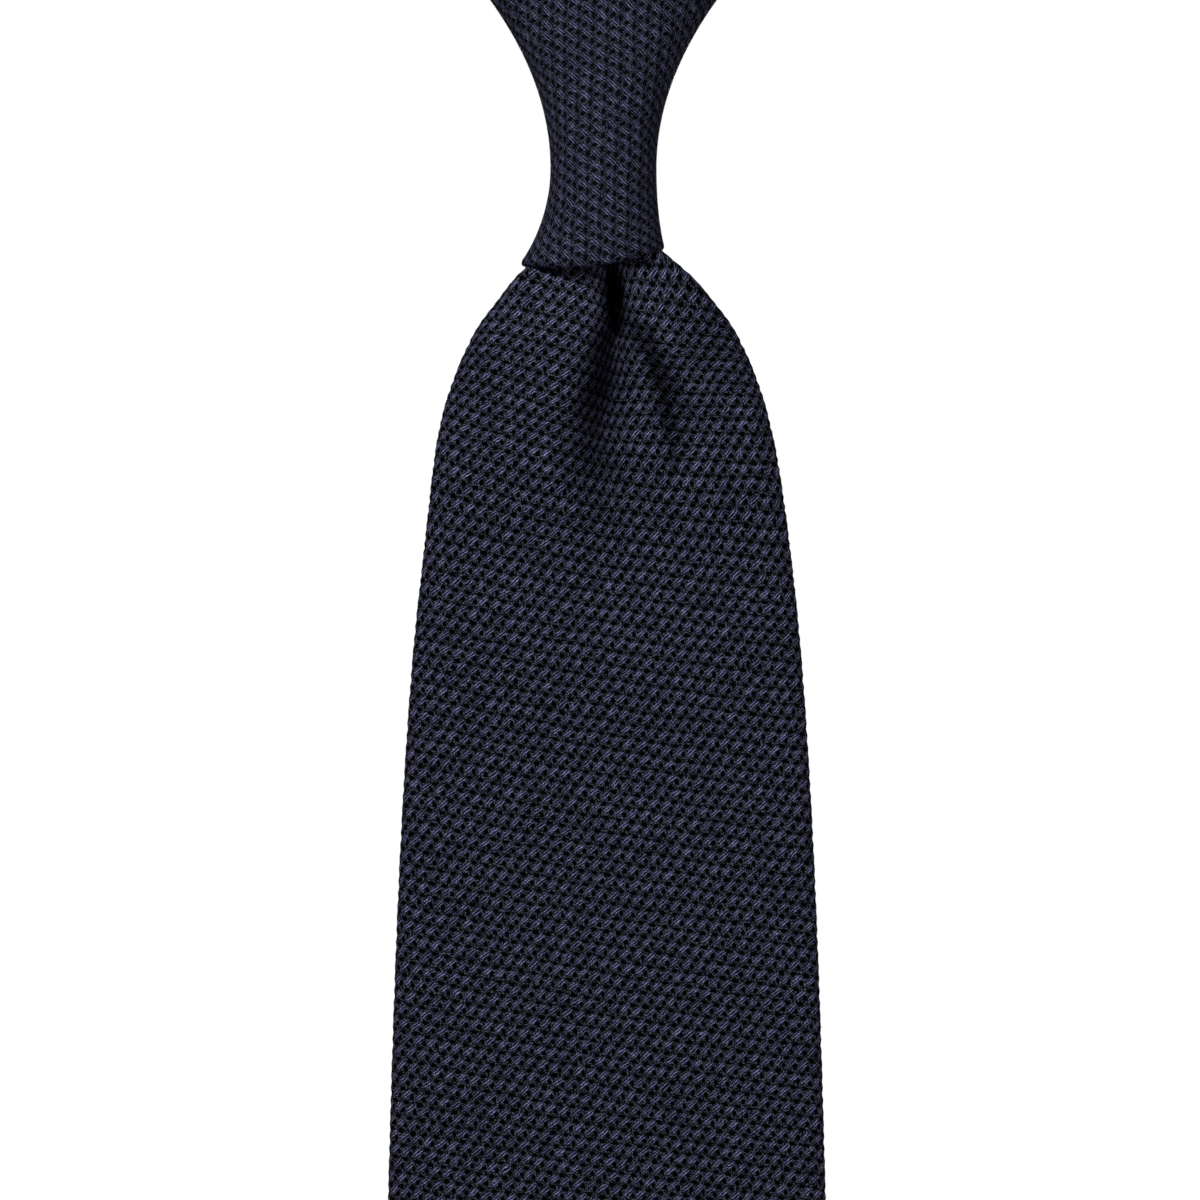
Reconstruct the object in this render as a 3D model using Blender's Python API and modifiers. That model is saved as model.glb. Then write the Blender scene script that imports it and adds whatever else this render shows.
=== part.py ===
"""A silk necktie, tied in a four-in-hand knot and hanging as it is worn.

Frame: metres, +Z up, front towards -Y, +X to the viewer's right. The origin is the middle of the
inside of the neck loop at its back, where the tie bears on the wearer's collar.

The tie is one long folded casing of silk with a wool interlining. Here it is cut into named pieces
where it turns: the band round the neck, the two strands that run from it to the knot, the passes
that make the knot, the wide front blade, and the narrow tail behind it.
"""

import math

import bmesh
import bpy
from mathutils import Matrix, Vector

MM = 0.001
GAP = 0.3 * MM

# Neck loop: the collar it goes round, and the folded band
LOOP_HALF_WIDTH = 60 * MM
LOOP_HALF_DEPTH = 65 * MM
LOOP_DROP = 34 * MM
BAND_HEIGHT = 34 * MM
BAND_THICKNESS = 3.6 * MM
BAND_WALL = 0.8 * MM
BAND_END_ANGLE = math.radians(112)
BAND_STEPS = 44
SLIT_WIDTH = 1.6 * MM
THREAD_RADIUS = 0.35 * MM

# Knot
KNOT_TOP = -52 * MM
KNOT_BOTTOM = -103 * MM
KNOT_Y = -145 * MM
KNOT_HALF_DEPTH = 12 * MM
KNOT_WAIST_HEIGHT = 17 * MM
KNOT_WAIST_HALF_WIDTH = 9.0 * MM
KNOT_TOP_FLARE = 14.2 * MM
KNOT_FOOT_FLARE_LEFT = 4.6 * MM
KNOT_FOOT_FLARE_RIGHT = 1.2 * MM
WRAP_WALL = 1.2 * MM

# Front blade
BLADE_FRONT_Y = -150.2 * MM
BLADE_THICKNESS = 4.4 * MM
BLADE_WALL = 1.0 * MM
BLADE_CLEARANCE = 3 * MM
BLADE_CORNER_DEPTH = 403 * MM
BLADE_CORNER_HALF_WIDTH = 42.5 * MM
BLADE_TOP_HALF_WIDTH = 35.0 * MM
LONG_GATHER = 13.9 * MM
LONG_GATHER_REACH = 42 * MM
SHORT_GATHER = 8.3 * MM
SHORT_GATHER_REACH = 8.5 * MM
BLADE_HEM = 9 * MM
BLADE_VENT_HEIGHT = 100 * MM
INTERLINING_THICKNESS = 1.2 * MM
LINING_THICKNESS = 0.5 * MM

# Tail
TAIL_FRONT_Y = -144.8 * MM
TAIL_THICKNESS = 3.5 * MM
TAIL_WALL = 0.8 * MM
TAIL_SPLIT_DEPTH = 101 * MM
TAIL_CORNER_DEPTH = 376 * MM
TAIL_CORNER_HALF_WIDTH = 19 * MM
TAIL_TOP_HALF_WIDTH = 16.5 * MM
TAIL_GATHER = 6.5 * MM
TAIL_GATHER_REACH = 12 * MM
TAIL_HEM = 6 * MM
TAIL_VENT_HEIGHT = 50 * MM

# Keeper loop and label on the blade's back
KEEPER_DEPTH = 280 * MM
KEEPER_HEIGHT = 12 * MM
KEEPER_THICKNESS = 0.8 * MM
KEEPER_INNER_Y = -140.2 * MM
KEEPER_BEND_HALF_WIDTH = 22.5 * MM
KEEPER_END_HALF_WIDTH = 31 * MM
LABEL_DEPTH = 250 * MM
LABEL_WIDTH = 62 * MM
LABEL_HEIGHT = 16 * MM
LABEL_THICKNESS = 0.35 * MM
TACK_THICKNESS = 0.4 * MM

COLLECTION_NAME = "necktie"
CUTTER_COLLECTION_NAME = "necktie_cutters"


def clear_scene():
    for obj in list(bpy.data.objects):
        bpy.data.objects.remove(obj)


def add_collection(name):
    collection = bpy.data.collections.new(name)
    bpy.context.scene.collection.children.link(collection)
    return collection


def make_material(name, colour, roughness):
    material = bpy.data.materials.new(name)
    material.use_nodes = True
    shader = material.node_tree.nodes["Principled BSDF"]
    shader.inputs["Base Color"].default_value = (*colour, 1.0)
    shader.inputs["Roughness"].default_value = roughness
    shader.inputs["Metallic"].default_value = 0.0
    material.diffuse_color = (*colour, 1.0)
    return material


SILK = (0.016, 0.016, 0.028)
LINING = (0.020, 0.022, 0.050)
WOOL = (0.55, 0.53, 0.48)
THREAD = (0.024, 0.024, 0.048)
LABEL = (0.045, 0.047, 0.080)


def place(obj, colour, roughness=0.7):
    """Gives a finished piece its own material and puts it in the tie's collection."""
    for collection in list(obj.users_collection):
        collection.objects.unlink(obj)
    parts.objects.link(obj)
    obj.data.materials.clear()
    obj.data.materials.append(make_material(obj.name, colour, roughness))
    return obj


def as_cutter(obj):
    for collection in list(obj.users_collection):
        collection.objects.unlink(obj)
    cutters.objects.link(obj)
    obj.hide_render = True
    obj.display_type = "WIRE"
    return obj


def mesh_object(name, bm):
    bmesh.ops.recalc_face_normals(bm, faces=bm.faces)
    mesh = bpy.data.meshes.new(name)
    bm.to_mesh(mesh)
    bm.free()
    obj = bpy.data.objects.new(name, mesh)
    bpy.context.scene.collection.objects.link(obj)
    return obj


def curve_object(name, points, cyclic=False, flat=False):
    curve = bpy.data.curves.new(name, "CURVE")
    curve.dimensions = "2D" if flat else "3D"
    spline = curve.splines.new("POLY")
    spline.points.add(len(points) - 1)
    for spot, point in zip(spline.points, points):
        spot.co = (*point, 0.0, 1.0) if flat else (*point, 1.0)
    spline.use_cyclic_u = cyclic
    obj = bpy.data.objects.new(name, curve)
    bpy.context.scene.collection.objects.link(obj)
    return obj


def as_mesh(curve_obj):
    """The curve's evaluated mesh with its caps welded, in place of the curve."""
    bpy.context.view_layer.update()
    graph = bpy.context.evaluated_depsgraph_get()
    mesh = bpy.data.meshes.new_from_object(curve_obj.evaluated_get(graph))
    name = curve_obj.name
    world = curve_obj.matrix_world.copy()
    bpy.data.objects.remove(curve_obj)
    bm = bmesh.new()
    bm.from_mesh(mesh)
    bmesh.ops.remove_doubles(bm, verts=bm.verts, dist=0.01 * MM)
    bmesh.ops.recalc_face_normals(bm, faces=bm.faces)
    bm.to_mesh(mesh)
    bm.free()
    mesh.name = name
    obj = bpy.data.objects.new(name, mesh)
    obj.matrix_world = world
    bpy.context.scene.collection.objects.link(obj)
    return obj


def slab(name, outline, y_front, thickness):
    """A flat piece standing in the XZ plane: its (x, z) outline, filled and given its thickness."""
    obj = curve_object(name, outline, cyclic=True, flat=True)
    obj.data.fill_mode = "BOTH"
    obj.data.extrude = thickness / 2
    obj.rotation_euler = (math.pi / 2, 0, 0)
    obj.location.y = y_front + thickness / 2
    return as_mesh(obj)


def thread(name, points, radius=THREAD_RADIUS, cyclic=False):
    obj = curve_object(name, points, cyclic=cyclic)
    obj.data.bevel_depth = radius
    obj.data.bevel_resolution = 2
    obj.data.use_fill_caps = not cyclic
    return obj


def cut(obj, cutter):
    modifier = obj.modifiers.new("cut_" + cutter.name, "BOOLEAN")
    modifier.operation = "DIFFERENCE"
    modifier.solver = "EXACT"
    modifier.object = cutter


def ring_section(half_width, half_thickness, count=16):
    """A flat rounded section, as (across, through) pairs."""
    section = []
    for step in range(count):
        angle = 2 * math.pi * (step + 0.5) / count
        across = math.copysign(abs(math.cos(angle)) ** 0.6, math.cos(angle))
        through = math.copysign(abs(math.sin(angle)) ** 0.6, math.sin(angle))
        section.append((across * half_width, through * half_thickness))
    return section


def loft(name, stations):
    """A capped loft through stations: (centre, across axis, through axis, half width, half thickness)."""
    bm = bmesh.new()
    rings = []
    for centre, across, through, half_width, half_thickness in stations:
        ring = [
            bm.verts.new(centre + across * u + through * v)
            for u, v in ring_section(half_width, half_thickness)
        ]
        rings.append(ring)
    for first, second in zip(rings, rings[1:]):
        for i in range(len(first)):
            j = (i + 1) % len(first)
            bm.faces.new((first[i], first[j], second[j], second[i]))
    bm.faces.new(rings[0])
    bm.faces.new(rings[-1])
    return mesh_object(name, bm)


def mix(a, b, t):
    return a * (1 - t) + b * t


# Neck band --------------------------------------------------------------------------------------


def loop_point(angle, outward):
    """A point of the neck loop: angle 0 is the back of the neck, outward is from the inner face."""
    return Vector((
        (LOOP_HALF_WIDTH + outward) * math.sin(angle),
        -LOOP_HALF_DEPTH + (LOOP_HALF_DEPTH + outward) * math.cos(angle),
        -LOOP_DROP * (1 - math.cos(angle)) / 2,
    ))


def loop_path(outward, end_angle, steps):
    angles = [end_angle * (2 * i / steps - 1) for i in range(steps + 1)]
    return [loop_point(angle, outward) for angle in angles]


def rounded_corner(x, y, radius, start_degrees):
    """A quarter circle inside the corner (x, y), drawn anticlockwise."""
    start = math.radians(start_degrees)
    centre_x = x - math.copysign(radius, math.cos(start + math.pi / 4))
    centre_y = y - math.copysign(radius, math.sin(start + math.pi / 4))
    turns = [start + math.pi / 2 * i / 3 for i in range(4)]
    return [(centre_x + radius * math.cos(a), centre_y + radius * math.sin(a)) for a in turns]


def band_section():
    """The folded casing's section: a flat tube, open along a slit in the middle of its inner wall."""
    half = BAND_HEIGHT / 2
    out = BAND_THICKNESS / 2
    radius = 1.5 * MM
    inner_half = half - BAND_WALL
    inner_out = out - BAND_WALL
    slit = SLIT_WIDTH / 2
    section = [(out, slit)]
    section += rounded_corner(out, half, radius, 0)
    section += rounded_corner(-out, half, radius, 90)
    section += rounded_corner(-out, -half, radius, 180)
    section += rounded_corner(out, -half, radius, 270)
    section += [(out, -slit), (inner_out, -slit), (inner_out, -inner_half)]
    section += [(-inner_out, -inner_half), (-inner_out, inner_half)]
    section += [(inner_out, inner_half), (inner_out, slit)]
    return section


def sweep(name, path, section):
    """A section swept along a path with its second axis kept upright."""
    profile = curve_object(name + "_section", section, cyclic=True, flat=True)
    obj = curve_object(name, path)
    obj.data.twist_mode = "Z_UP"
    obj.data.bevel_mode = "OBJECT"
    obj.data.bevel_object = profile
    obj.data.use_fill_caps = True
    obj = as_mesh(obj)
    bpy.data.objects.remove(profile)
    return obj


def make_neck_band():
    middle = BAND_THICKNESS / 2
    casing = sweep("neck_casing", loop_path(middle, BAND_END_ANGLE, BAND_STEPS), band_section())
    place(casing, SILK)

    core_half_height = BAND_HEIGHT / 2 - BAND_WALL - GAP
    core_half = middle - BAND_WALL - GAP
    core_section = [
        (-core_half, -core_half_height),
        (core_half, -core_half_height),
        (core_half, 0),
        (core_half, core_half_height),
        (-core_half, core_half_height),
        (-core_half, 0),
    ]
    core_path = loop_path(middle, BAND_END_ANGLE, BAND_STEPS)
    place(sweep("neck_interlining", core_path, core_section), WOOL, 0.95)

    stitch_path = loop_path(BAND_WALL / 2, BAND_END_ANGLE, BAND_STEPS)
    place(thread("neck_slip_stitch", stitch_path), THREAD)


def make_loop_strand(name, side):
    """One strand from the end of the neck band to the mouth of the knot, bunching as it goes in."""
    start_angle = BAND_END_ANGLE + math.radians(0.4)
    ahead = loop_point(start_angle + 0.01, BAND_THICKNESS / 2)
    start = loop_point(start_angle, BAND_THICKNESS / 2)
    heading = (ahead - start).normalized()
    end = Vector((6.4 * MM, -142.5 * MM, KNOT_TOP - 12 * MM))
    end_heading = Vector((-0.36, -0.05, -0.93)).normalized()
    lead_in = 40 * MM
    lead_out = 36 * MM
    knots = (start, start + heading * lead_in, end - end_heading * lead_out, end)
    up = Vector((0, 0, 1))
    inward = Vector((-1, 0, 0))
    stations = []
    steps = 16
    for i in range(steps + 1):
        t = i / steps
        one = mix(knots[0], knots[1], t)
        two = mix(knots[1], knots[2], t)
        three = mix(knots[2], knots[3], t)
        centre = mix(mix(one, two, t), mix(two, three, t), t)
        along = (mix(two, three, t) - mix(one, two, t)).normalized()
        turn = t * t * (3 - 2 * t)
        across = mix(up, inward, turn)
        across = (across - along * across.dot(along)).normalized()
        through = along.cross(across).normalized()
        bunch = t ** 3
        half_width = mix(BAND_HEIGHT / 2, 4.2 * MM, t)
        half_thickness = mix(BAND_THICKNESS / 2, 3.0 * MM, bunch)
        flip = Matrix.Diagonal((side, 1, 1))
        stations.append((flip @ centre, flip @ across, flip @ through, half_width, half_thickness))
    place(loft(name, stations), SILK)


# Knot -------------------------------------------------------------------------------------------


def knot_half_width(height, foot_flare):
    """The knot's half width at a height above its lower edge: a waist that flares both ways."""
    above = height - KNOT_WAIST_HEIGHT
    if above > 0:
        reach = KNOT_TOP - KNOT_BOTTOM - KNOT_WAIST_HEIGHT
        return KNOT_WAIST_HALF_WIDTH + KNOT_TOP_FLARE * (above / reach) ** 2
    return KNOT_WAIST_HALF_WIDTH + foot_flare * (above / KNOT_WAIST_HEIGHT) ** 2


def knot_outline(bottom, top, inset, share=1.0, steps=10):
    """The (x, z) outline of a piece inside the knot, from bottom to top heights, drawn in by inset."""
    heights = [bottom + (top - bottom) * i / steps for i in range(steps + 1)]
    right = []
    left = []
    for height in heights:
        z = KNOT_BOTTOM + height
        right.append((knot_half_width(height, KNOT_FOOT_FLARE_RIGHT) * share - inset, z))
        left.append((-knot_half_width(height, KNOT_FOOT_FLARE_LEFT) * share + inset, z))
    return right + left[::-1]


def make_front_wrap():
    """The pass that shows: a flared sheet round the front and both sides of the knot."""
    levels = 14
    columns = 36
    reach = math.radians(150)
    bm = bmesh.new()
    grid = []
    for level in range(levels + 1):
        height = (KNOT_TOP - KNOT_BOTTOM) * level / levels
        right = knot_half_width(height, KNOT_FOOT_FLARE_RIGHT)
        left = knot_half_width(height, KNOT_FOOT_FLARE_LEFT)
        row = []
        for column in range(columns + 1):
            angle = reach * (2 * column / columns - 1)
            sine = math.sin(angle)
            cosine = math.cos(angle)
            side = math.copysign(abs(sine) ** 0.7, sine) * (right if sine > 0 else left)
            front = math.copysign(abs(cosine) ** 0.7, cosine) * KNOT_HALF_DEPTH
            row.append(bm.verts.new((side, KNOT_Y - front, KNOT_BOTTOM + height)))
        grid.append(row)
    for lower, upper in zip(grid, grid[1:]):
        for i in range(columns):
            bm.faces.new((lower[i], lower[i + 1], upper[i + 1], upper[i]))
    wrap = mesh_object("knot_front_wrap", bm)
    shell = wrap.modifiers.new("wall", "SOLIDIFY")
    shell.thickness = WRAP_WALL
    shell.offset = -1.0
    for face in wrap.data.polygons:
        face.use_smooth = True
    place(wrap, SILK)


def make_knot_passes():
    rear_outline = knot_outline(2 * MM, 44 * MM, 1 * MM, share=0.62)
    place(slab("knot_rear_wrap", rear_outline, -137.4 * MM, 1.4 * MM), SILK)
    first = slab("knot_first_cross", knot_outline(5 * MM, 30 * MM, 2.4 * MM), -147.6 * MM, 1.4 * MM)
    place(first, SILK)
    core_outline = knot_outline(1 * MM, 34 * MM, 2.4 * MM, share=0.95)
    place(slab("knot_tail_core", core_outline, TAIL_FRONT_Y, TAIL_THICKNESS), SILK)


def make_knot_rise():
    """The last pass: up over the top of the knot, between the strands, and down inside the wrap."""
    x_axis = Vector((1, 0, 0))
    front_y = -150.0 * MM
    bend_centre = Vector((0, -144.5 * MM, KNOT_TOP - 2 * MM))
    bend_radius = 5.5 * MM
    foot = 0.6 * MM
    straight_top = bend_centre.z - KNOT_BOTTOM
    stations = []
    steps = 8
    for i in range(steps):
        height = foot + (straight_top - foot) * i / steps
        wide = knot_half_width(height, KNOT_FOOT_FLARE_RIGHT) - 2.6 * MM
        half_width = min(wide, 9.5 * MM)
        centre = Vector((0, front_y, KNOT_BOTTOM + height))
        stations.append((centre, x_axis, Vector((0, 1, 0)), half_width, 1.5 * MM))
    turns = 8
    for i in range(turns + 1):
        share = i / turns
        angle = math.radians(150) * share
        away = Vector((0, -math.cos(angle), math.sin(angle)))
        half_width = mix(9.5 * MM, 3.2 * MM, share)
        stations.append((bend_centre + away * bend_radius, x_axis, -away, half_width, 1.5 * MM))
    place(loft("knot_rise", stations), SILK)


# Front blade ------------------------------------------------------------------------------------


def blade_half_width(depth):
    """Half width of the blade at a depth below the knot: a straight taper less the gathers."""
    taper = mix(BLADE_TOP_HALF_WIDTH, BLADE_CORNER_HALF_WIDTH, depth / BLADE_CORNER_DEPTH)
    long_gather = LONG_GATHER * math.exp(-depth / LONG_GATHER_REACH)
    short_gather = SHORT_GATHER * math.exp(-depth / SHORT_GATHER_REACH)
    return taper - long_gather - short_gather


def tail_half_width(depth):
    taper = mix(TAIL_TOP_HALF_WIDTH, TAIL_CORNER_HALF_WIDTH, depth / TAIL_CORNER_DEPTH)
    return taper - TAIL_GATHER * math.exp(-depth / TAIL_GATHER_REACH)


def pointed_outline(half_width, top, corner_depth, inset, top_inset=0.0, steps=16):
    """The (x, z) outline of a blade with a right-angled point, drawn in by inset all round."""
    corner_half_width = half_width(corner_depth)
    point_inset = inset * math.sqrt(2)
    corner_inset = point_inset - inset
    start = top + top_inset
    right = []
    for i in range(steps + 1):
        depth = start + (corner_depth - corner_inset - start) * (i / steps) ** 1.8
        right.append((half_width(depth) - inset, KNOT_BOTTOM - depth))
    left = [(-x, z) for x, z in reversed(right)]
    tip = (0.0, KNOT_BOTTOM - corner_depth - corner_half_width + point_inset)
    return right + [tip] + left


def vent_outline(half_width, corner_depth, vent_height, hem):
    """The window at a blade's back, where its flaps part over the lining."""
    corner = half_width(corner_depth)
    tip_depth = corner_depth + corner
    side = corner - hem
    return [
        (0.0, KNOT_BOTTOM - tip_depth + vent_height),
        (side, KNOT_BOTTOM - corner_depth),
        (0.0, KNOT_BOTTOM - tip_depth + hem * math.sqrt(2)),
        (-side, KNOT_BOTTOM - corner_depth),
    ]


def make_casing(name, half_width, top, corner_depth, front_y, thickness, wall, vent):
    """A folded casing: a flat front, two back flaps that meet at a slit, and the vent at the point."""
    casing = slab(name, pointed_outline(half_width, top, corner_depth, 0.0), front_y, thickness)
    pocket_outline = pointed_outline(half_width, top, corner_depth, wall, top_inset=-5 * MM)
    pocket = slab(name + "_pocket", pocket_outline, front_y + wall, thickness - 2 * wall)
    back_inner_y = front_y + thickness - wall
    vent_cutter = slab(name + "_vent", vent, back_inner_y - GAP, wall + 2 * GAP)
    slit_bottom = vent[0][1] - 2 * MM
    slit_top = KNOT_BOTTOM - top + 1 * MM
    half_slit = SLIT_WIDTH / 2
    slit_outline = [
        (-half_slit, slit_bottom),
        (half_slit, slit_bottom),
        (half_slit, slit_top),
        (-half_slit, slit_top),
    ]
    slit = slab(name + "_slit", slit_outline, back_inner_y - GAP / 2, wall + 2 * GAP)
    for cutter in (pocket, vent_cutter, slit):
        cut(casing, as_cutter(cutter))
    place(casing, SILK)


def make_thread_work(prefix, apex_z, top_z, back_y, wall):
    """The slip stitch in the slit and the bar tack across its lower end."""
    seam_y = back_y - wall / 2
    stitch = [(0, seam_y, apex_z + 1 * MM), (0, seam_y, top_z)]
    place(thread(prefix + "_slip_stitch", stitch), THREAD)
    tack_outline = [
        (-4 * MM, apex_z + 2.2 * MM),
        (4 * MM, apex_z + 2.2 * MM),
        (4 * MM, apex_z + 3.4 * MM),
        (-4 * MM, apex_z + 3.4 * MM),
    ]
    place(slab(prefix + "_bar_tack", tack_outline, back_y + GAP, TACK_THICKNESS), THREAD)


def make_blade():
    top = BLADE_CLEARANCE
    vent = vent_outline(blade_half_width, BLADE_CORNER_DEPTH, BLADE_VENT_HEIGHT, BLADE_HEM)
    make_casing(
        "blade_casing", blade_half_width, top, BLADE_CORNER_DEPTH,
        BLADE_FRONT_Y, BLADE_THICKNESS, BLADE_WALL, vent,
    )
    inset = BLADE_WALL + 3 * GAP
    core_y = BLADE_FRONT_Y + BLADE_WALL + GAP
    core_outline = pointed_outline(
        blade_half_width, top, BLADE_CORNER_DEPTH - 4 * MM, inset, top_inset=1 * MM
    )
    place(slab("blade_interlining", core_outline, core_y, INTERLINING_THICKNESS), WOOL, 0.95)

    tip_z = KNOT_BOTTOM - BLADE_CORNER_DEPTH - BLADE_CORNER_HALF_WIDTH
    lining_top = BLADE_CORNER_DEPTH - 52 * MM
    lining_outline = pointed_outline(
        blade_half_width, lining_top, BLADE_CORNER_DEPTH, inset, steps=4
    )
    lining_y = core_y + INTERLINING_THICKNESS + GAP
    place(slab("blade_tipping", lining_outline, lining_y, LINING_THICKNESS), LINING, 0.35)

    back_y = BLADE_FRONT_Y + BLADE_THICKNESS
    apex_z = tip_z + BLADE_VENT_HEIGHT
    make_thread_work("blade", apex_z, KNOT_BOTTOM - top - 2 * MM, back_y, BLADE_WALL)
    make_slack_loop(apex_z - 3 * MM, back_y - BLADE_WALL / 2)


def make_slack_loop(top_z, y):
    """The end of the slip stitch, left as a loose loop so that the seam can give."""
    half_width = 0.9 * MM
    length = 10 * MM
    turns = 18
    points = []
    for i in range(turns):
        angle = 2 * math.pi * i / turns
        x = half_width * math.sin(angle)
        points.append((x, y, top_z - length / 2 * (1 - math.cos(angle))))
    place(thread("slack_thread_loop", points, radius=0.3 * MM, cyclic=True), THREAD)


def make_keeper():
    """The strap that holds the tail: it runs from one side of the blade's back to the other."""
    back_y = BLADE_FRONT_Y + BLADE_THICKNESS
    half = KEEPER_THICKNESS / 2
    lower_y = back_y + GAP + half
    upper_y = KEEPER_INNER_Y + half
    bend = KEEPER_BEND_HALF_WIDTH
    rise = [(bend + 3.5 * MM, lower_y), (bend + 1.5 * MM, mix(lower_y, upper_y, 0.55))]
    right = [(KEEPER_END_HALF_WIDTH, lower_y)] + rise + [(bend - 1 * MM, upper_y)]
    path = [(-x, y) for x, y in right] + right[::-1]
    z = KNOT_BOTTOM - KEEPER_DEPTH
    keeper = curve_object("keeper_loop", path, flat=True)
    keeper.data.fill_mode = "NONE"
    keeper.data.extrude = KEEPER_HEIGHT / 2
    keeper.location.z = z
    keeper = as_mesh(keeper)
    wall = keeper.modifiers.new("wall", "SOLIDIFY")
    wall.thickness = KEEPER_THICKNESS
    wall.offset = 0.0
    wall.use_even_offset = True
    place(keeper, SILK)
    for name, side in (("keeper_tack_left", -1), ("keeper_tack_right", 1)):
        x = side * (KEEPER_END_HALF_WIDTH - 2.5 * MM)
        outline = [
            (x - 0.6 * MM, z - 5 * MM),
            (x + 0.6 * MM, z - 5 * MM),
            (x + 0.6 * MM, z + 5 * MM),
            (x - 0.6 * MM, z + 5 * MM),
        ]
        place(slab(name, outline, lower_y + half + GAP, TACK_THICKNESS), THREAD)


def make_label():
    half_width = LABEL_WIDTH / 2
    top = KNOT_BOTTOM - LABEL_DEPTH + LABEL_HEIGHT / 2
    bottom = top - LABEL_HEIGHT
    outline = [(-half_width, bottom), (half_width, bottom), (half_width, top), (-half_width, top)]
    back_y = BLADE_FRONT_Y + BLADE_THICKNESS
    place(slab("blank_label", outline, back_y + GAP, LABEL_THICKNESS), LABEL, 0.45)


# Tail -------------------------------------------------------------------------------------------


def make_tail():
    vent = vent_outline(tail_half_width, TAIL_CORNER_DEPTH, TAIL_VENT_HEIGHT, TAIL_HEM)
    make_casing(
        "tail_casing", tail_half_width, TAIL_SPLIT_DEPTH, TAIL_CORNER_DEPTH,
        TAIL_FRONT_Y, TAIL_THICKNESS, TAIL_WALL, vent,
    )
    inset = TAIL_WALL + 2 * GAP
    core_y = TAIL_FRONT_Y + TAIL_WALL + GAP
    core_thickness = 0.6 * MM
    core_outline = pointed_outline(
        tail_half_width, TAIL_SPLIT_DEPTH, TAIL_CORNER_DEPTH - 3 * MM, inset, top_inset=1 * MM
    )
    place(slab("tail_interlining", core_outline, core_y, core_thickness), WOOL, 0.95)
    lining_outline = pointed_outline(
        tail_half_width, TAIL_CORNER_DEPTH - 28 * MM, TAIL_CORNER_DEPTH, inset, steps=4
    )
    lining_y = core_y + core_thickness + GAP
    place(slab("tail_tipping", lining_outline, lining_y, 0.4 * MM), LINING, 0.35)
    apex_z = vent[0][1]
    back_y = TAIL_FRONT_Y + TAIL_THICKNESS
    top_z = KNOT_BOTTOM - TAIL_SPLIT_DEPTH - 2 * MM
    make_thread_work("tail", apex_z, top_z, back_y, TAIL_WALL)


def make_tail_strand():
    """The stretch of tail between the knot and the casing that slides: it shortens as the tail rises."""
    top = 4.5 * MM
    bottom = TAIL_SPLIT_DEPTH - GAP
    steps = 10
    right = []
    for i in range(steps + 1):
        depth = top + (bottom - top) * (i / steps) ** 1.5
        right.append((tail_half_width(depth), KNOT_BOTTOM - depth))
    outline = right + [(-x, z) for x, z in reversed(right)]
    place(slab("tail_upper_strand", outline, TAIL_FRONT_Y, TAIL_THICKNESS), SILK)


clear_scene()
parts = add_collection(COLLECTION_NAME)
cutters = add_collection(CUTTER_COLLECTION_NAME)
make_neck_band()
make_loop_strand("left_loop_strand", -1)
make_loop_strand("right_loop_strand", 1)
make_front_wrap()
make_knot_passes()
make_knot_rise()
make_blade()
make_keeper()
make_label()
make_tail()
make_tail_strand()
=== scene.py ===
"""The looks of a navy grenadine necktie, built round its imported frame.

Every silk casing is a sheet of cloth, made row by row: a row is one section through the folded
casing, and the cloth keeps its own width in it, so the weave turns and bunches as the silk does.
"""

import math

import bpy
import numpy as np
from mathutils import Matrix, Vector


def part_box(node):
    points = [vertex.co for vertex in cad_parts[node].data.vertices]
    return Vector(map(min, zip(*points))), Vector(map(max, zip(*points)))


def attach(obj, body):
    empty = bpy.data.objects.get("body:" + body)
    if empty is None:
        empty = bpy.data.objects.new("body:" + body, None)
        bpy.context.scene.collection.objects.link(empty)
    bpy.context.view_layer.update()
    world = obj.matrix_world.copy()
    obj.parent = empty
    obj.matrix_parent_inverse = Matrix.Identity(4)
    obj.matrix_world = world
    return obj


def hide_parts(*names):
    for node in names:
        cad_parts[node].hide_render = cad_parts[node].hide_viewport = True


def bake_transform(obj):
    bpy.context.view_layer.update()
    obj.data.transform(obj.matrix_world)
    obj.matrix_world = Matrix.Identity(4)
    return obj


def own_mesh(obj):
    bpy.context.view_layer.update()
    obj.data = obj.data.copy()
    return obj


MM = 0.001

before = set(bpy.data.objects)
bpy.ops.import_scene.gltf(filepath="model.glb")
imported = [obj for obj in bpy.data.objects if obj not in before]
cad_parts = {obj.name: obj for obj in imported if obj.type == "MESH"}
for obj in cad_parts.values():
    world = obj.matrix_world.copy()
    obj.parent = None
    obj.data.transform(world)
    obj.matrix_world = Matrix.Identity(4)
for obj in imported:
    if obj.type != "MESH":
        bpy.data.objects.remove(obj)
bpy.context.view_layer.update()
bpy.ops.object.select_all(action="DESELECT")

# Places read from the frame, in millimetres -----------------------------------------------------


def box_mm(node):
    low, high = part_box(node)
    return np.array(low) / MM, np.array(high) / MM


knot_low, knot_high = box_mm("knot_front_wrap")
blade_low, blade_high = box_mm("blade_casing")
tail_low, tail_high = box_mm("tail_casing")
keeper_low, keeper_high = box_mm("keeper_loop")
label_low, label_high = box_mm("blank_label")

KNOT_FOOT = knot_low[2] + 0.5
KNOT_HEIGHT = 51.0
KNOT_TOP = KNOT_FOOT + KNOT_HEIGHT
KNOT_Y = -145.0
KNOT_HALF_DEPTH = 12.0
KNOT_WAIST_HEIGHT = 17.0
KNOT_WAIST_HALF_WIDTH = 9.2
KNOT_TOP_FLARE = 14.2
KNOT_FOOT_FLARE_LEFT = 5.5
KNOT_FOOT_FLARE_RIGHT = 1.5
KNOT_LEAN = -0.3
KNOT_EDGE_RADIUS = 1.0
KNOT_EDGE_LIP = 7.0
KNOT_FACE_ROWS = 52
KNOT_COLUMNS = 97

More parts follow.
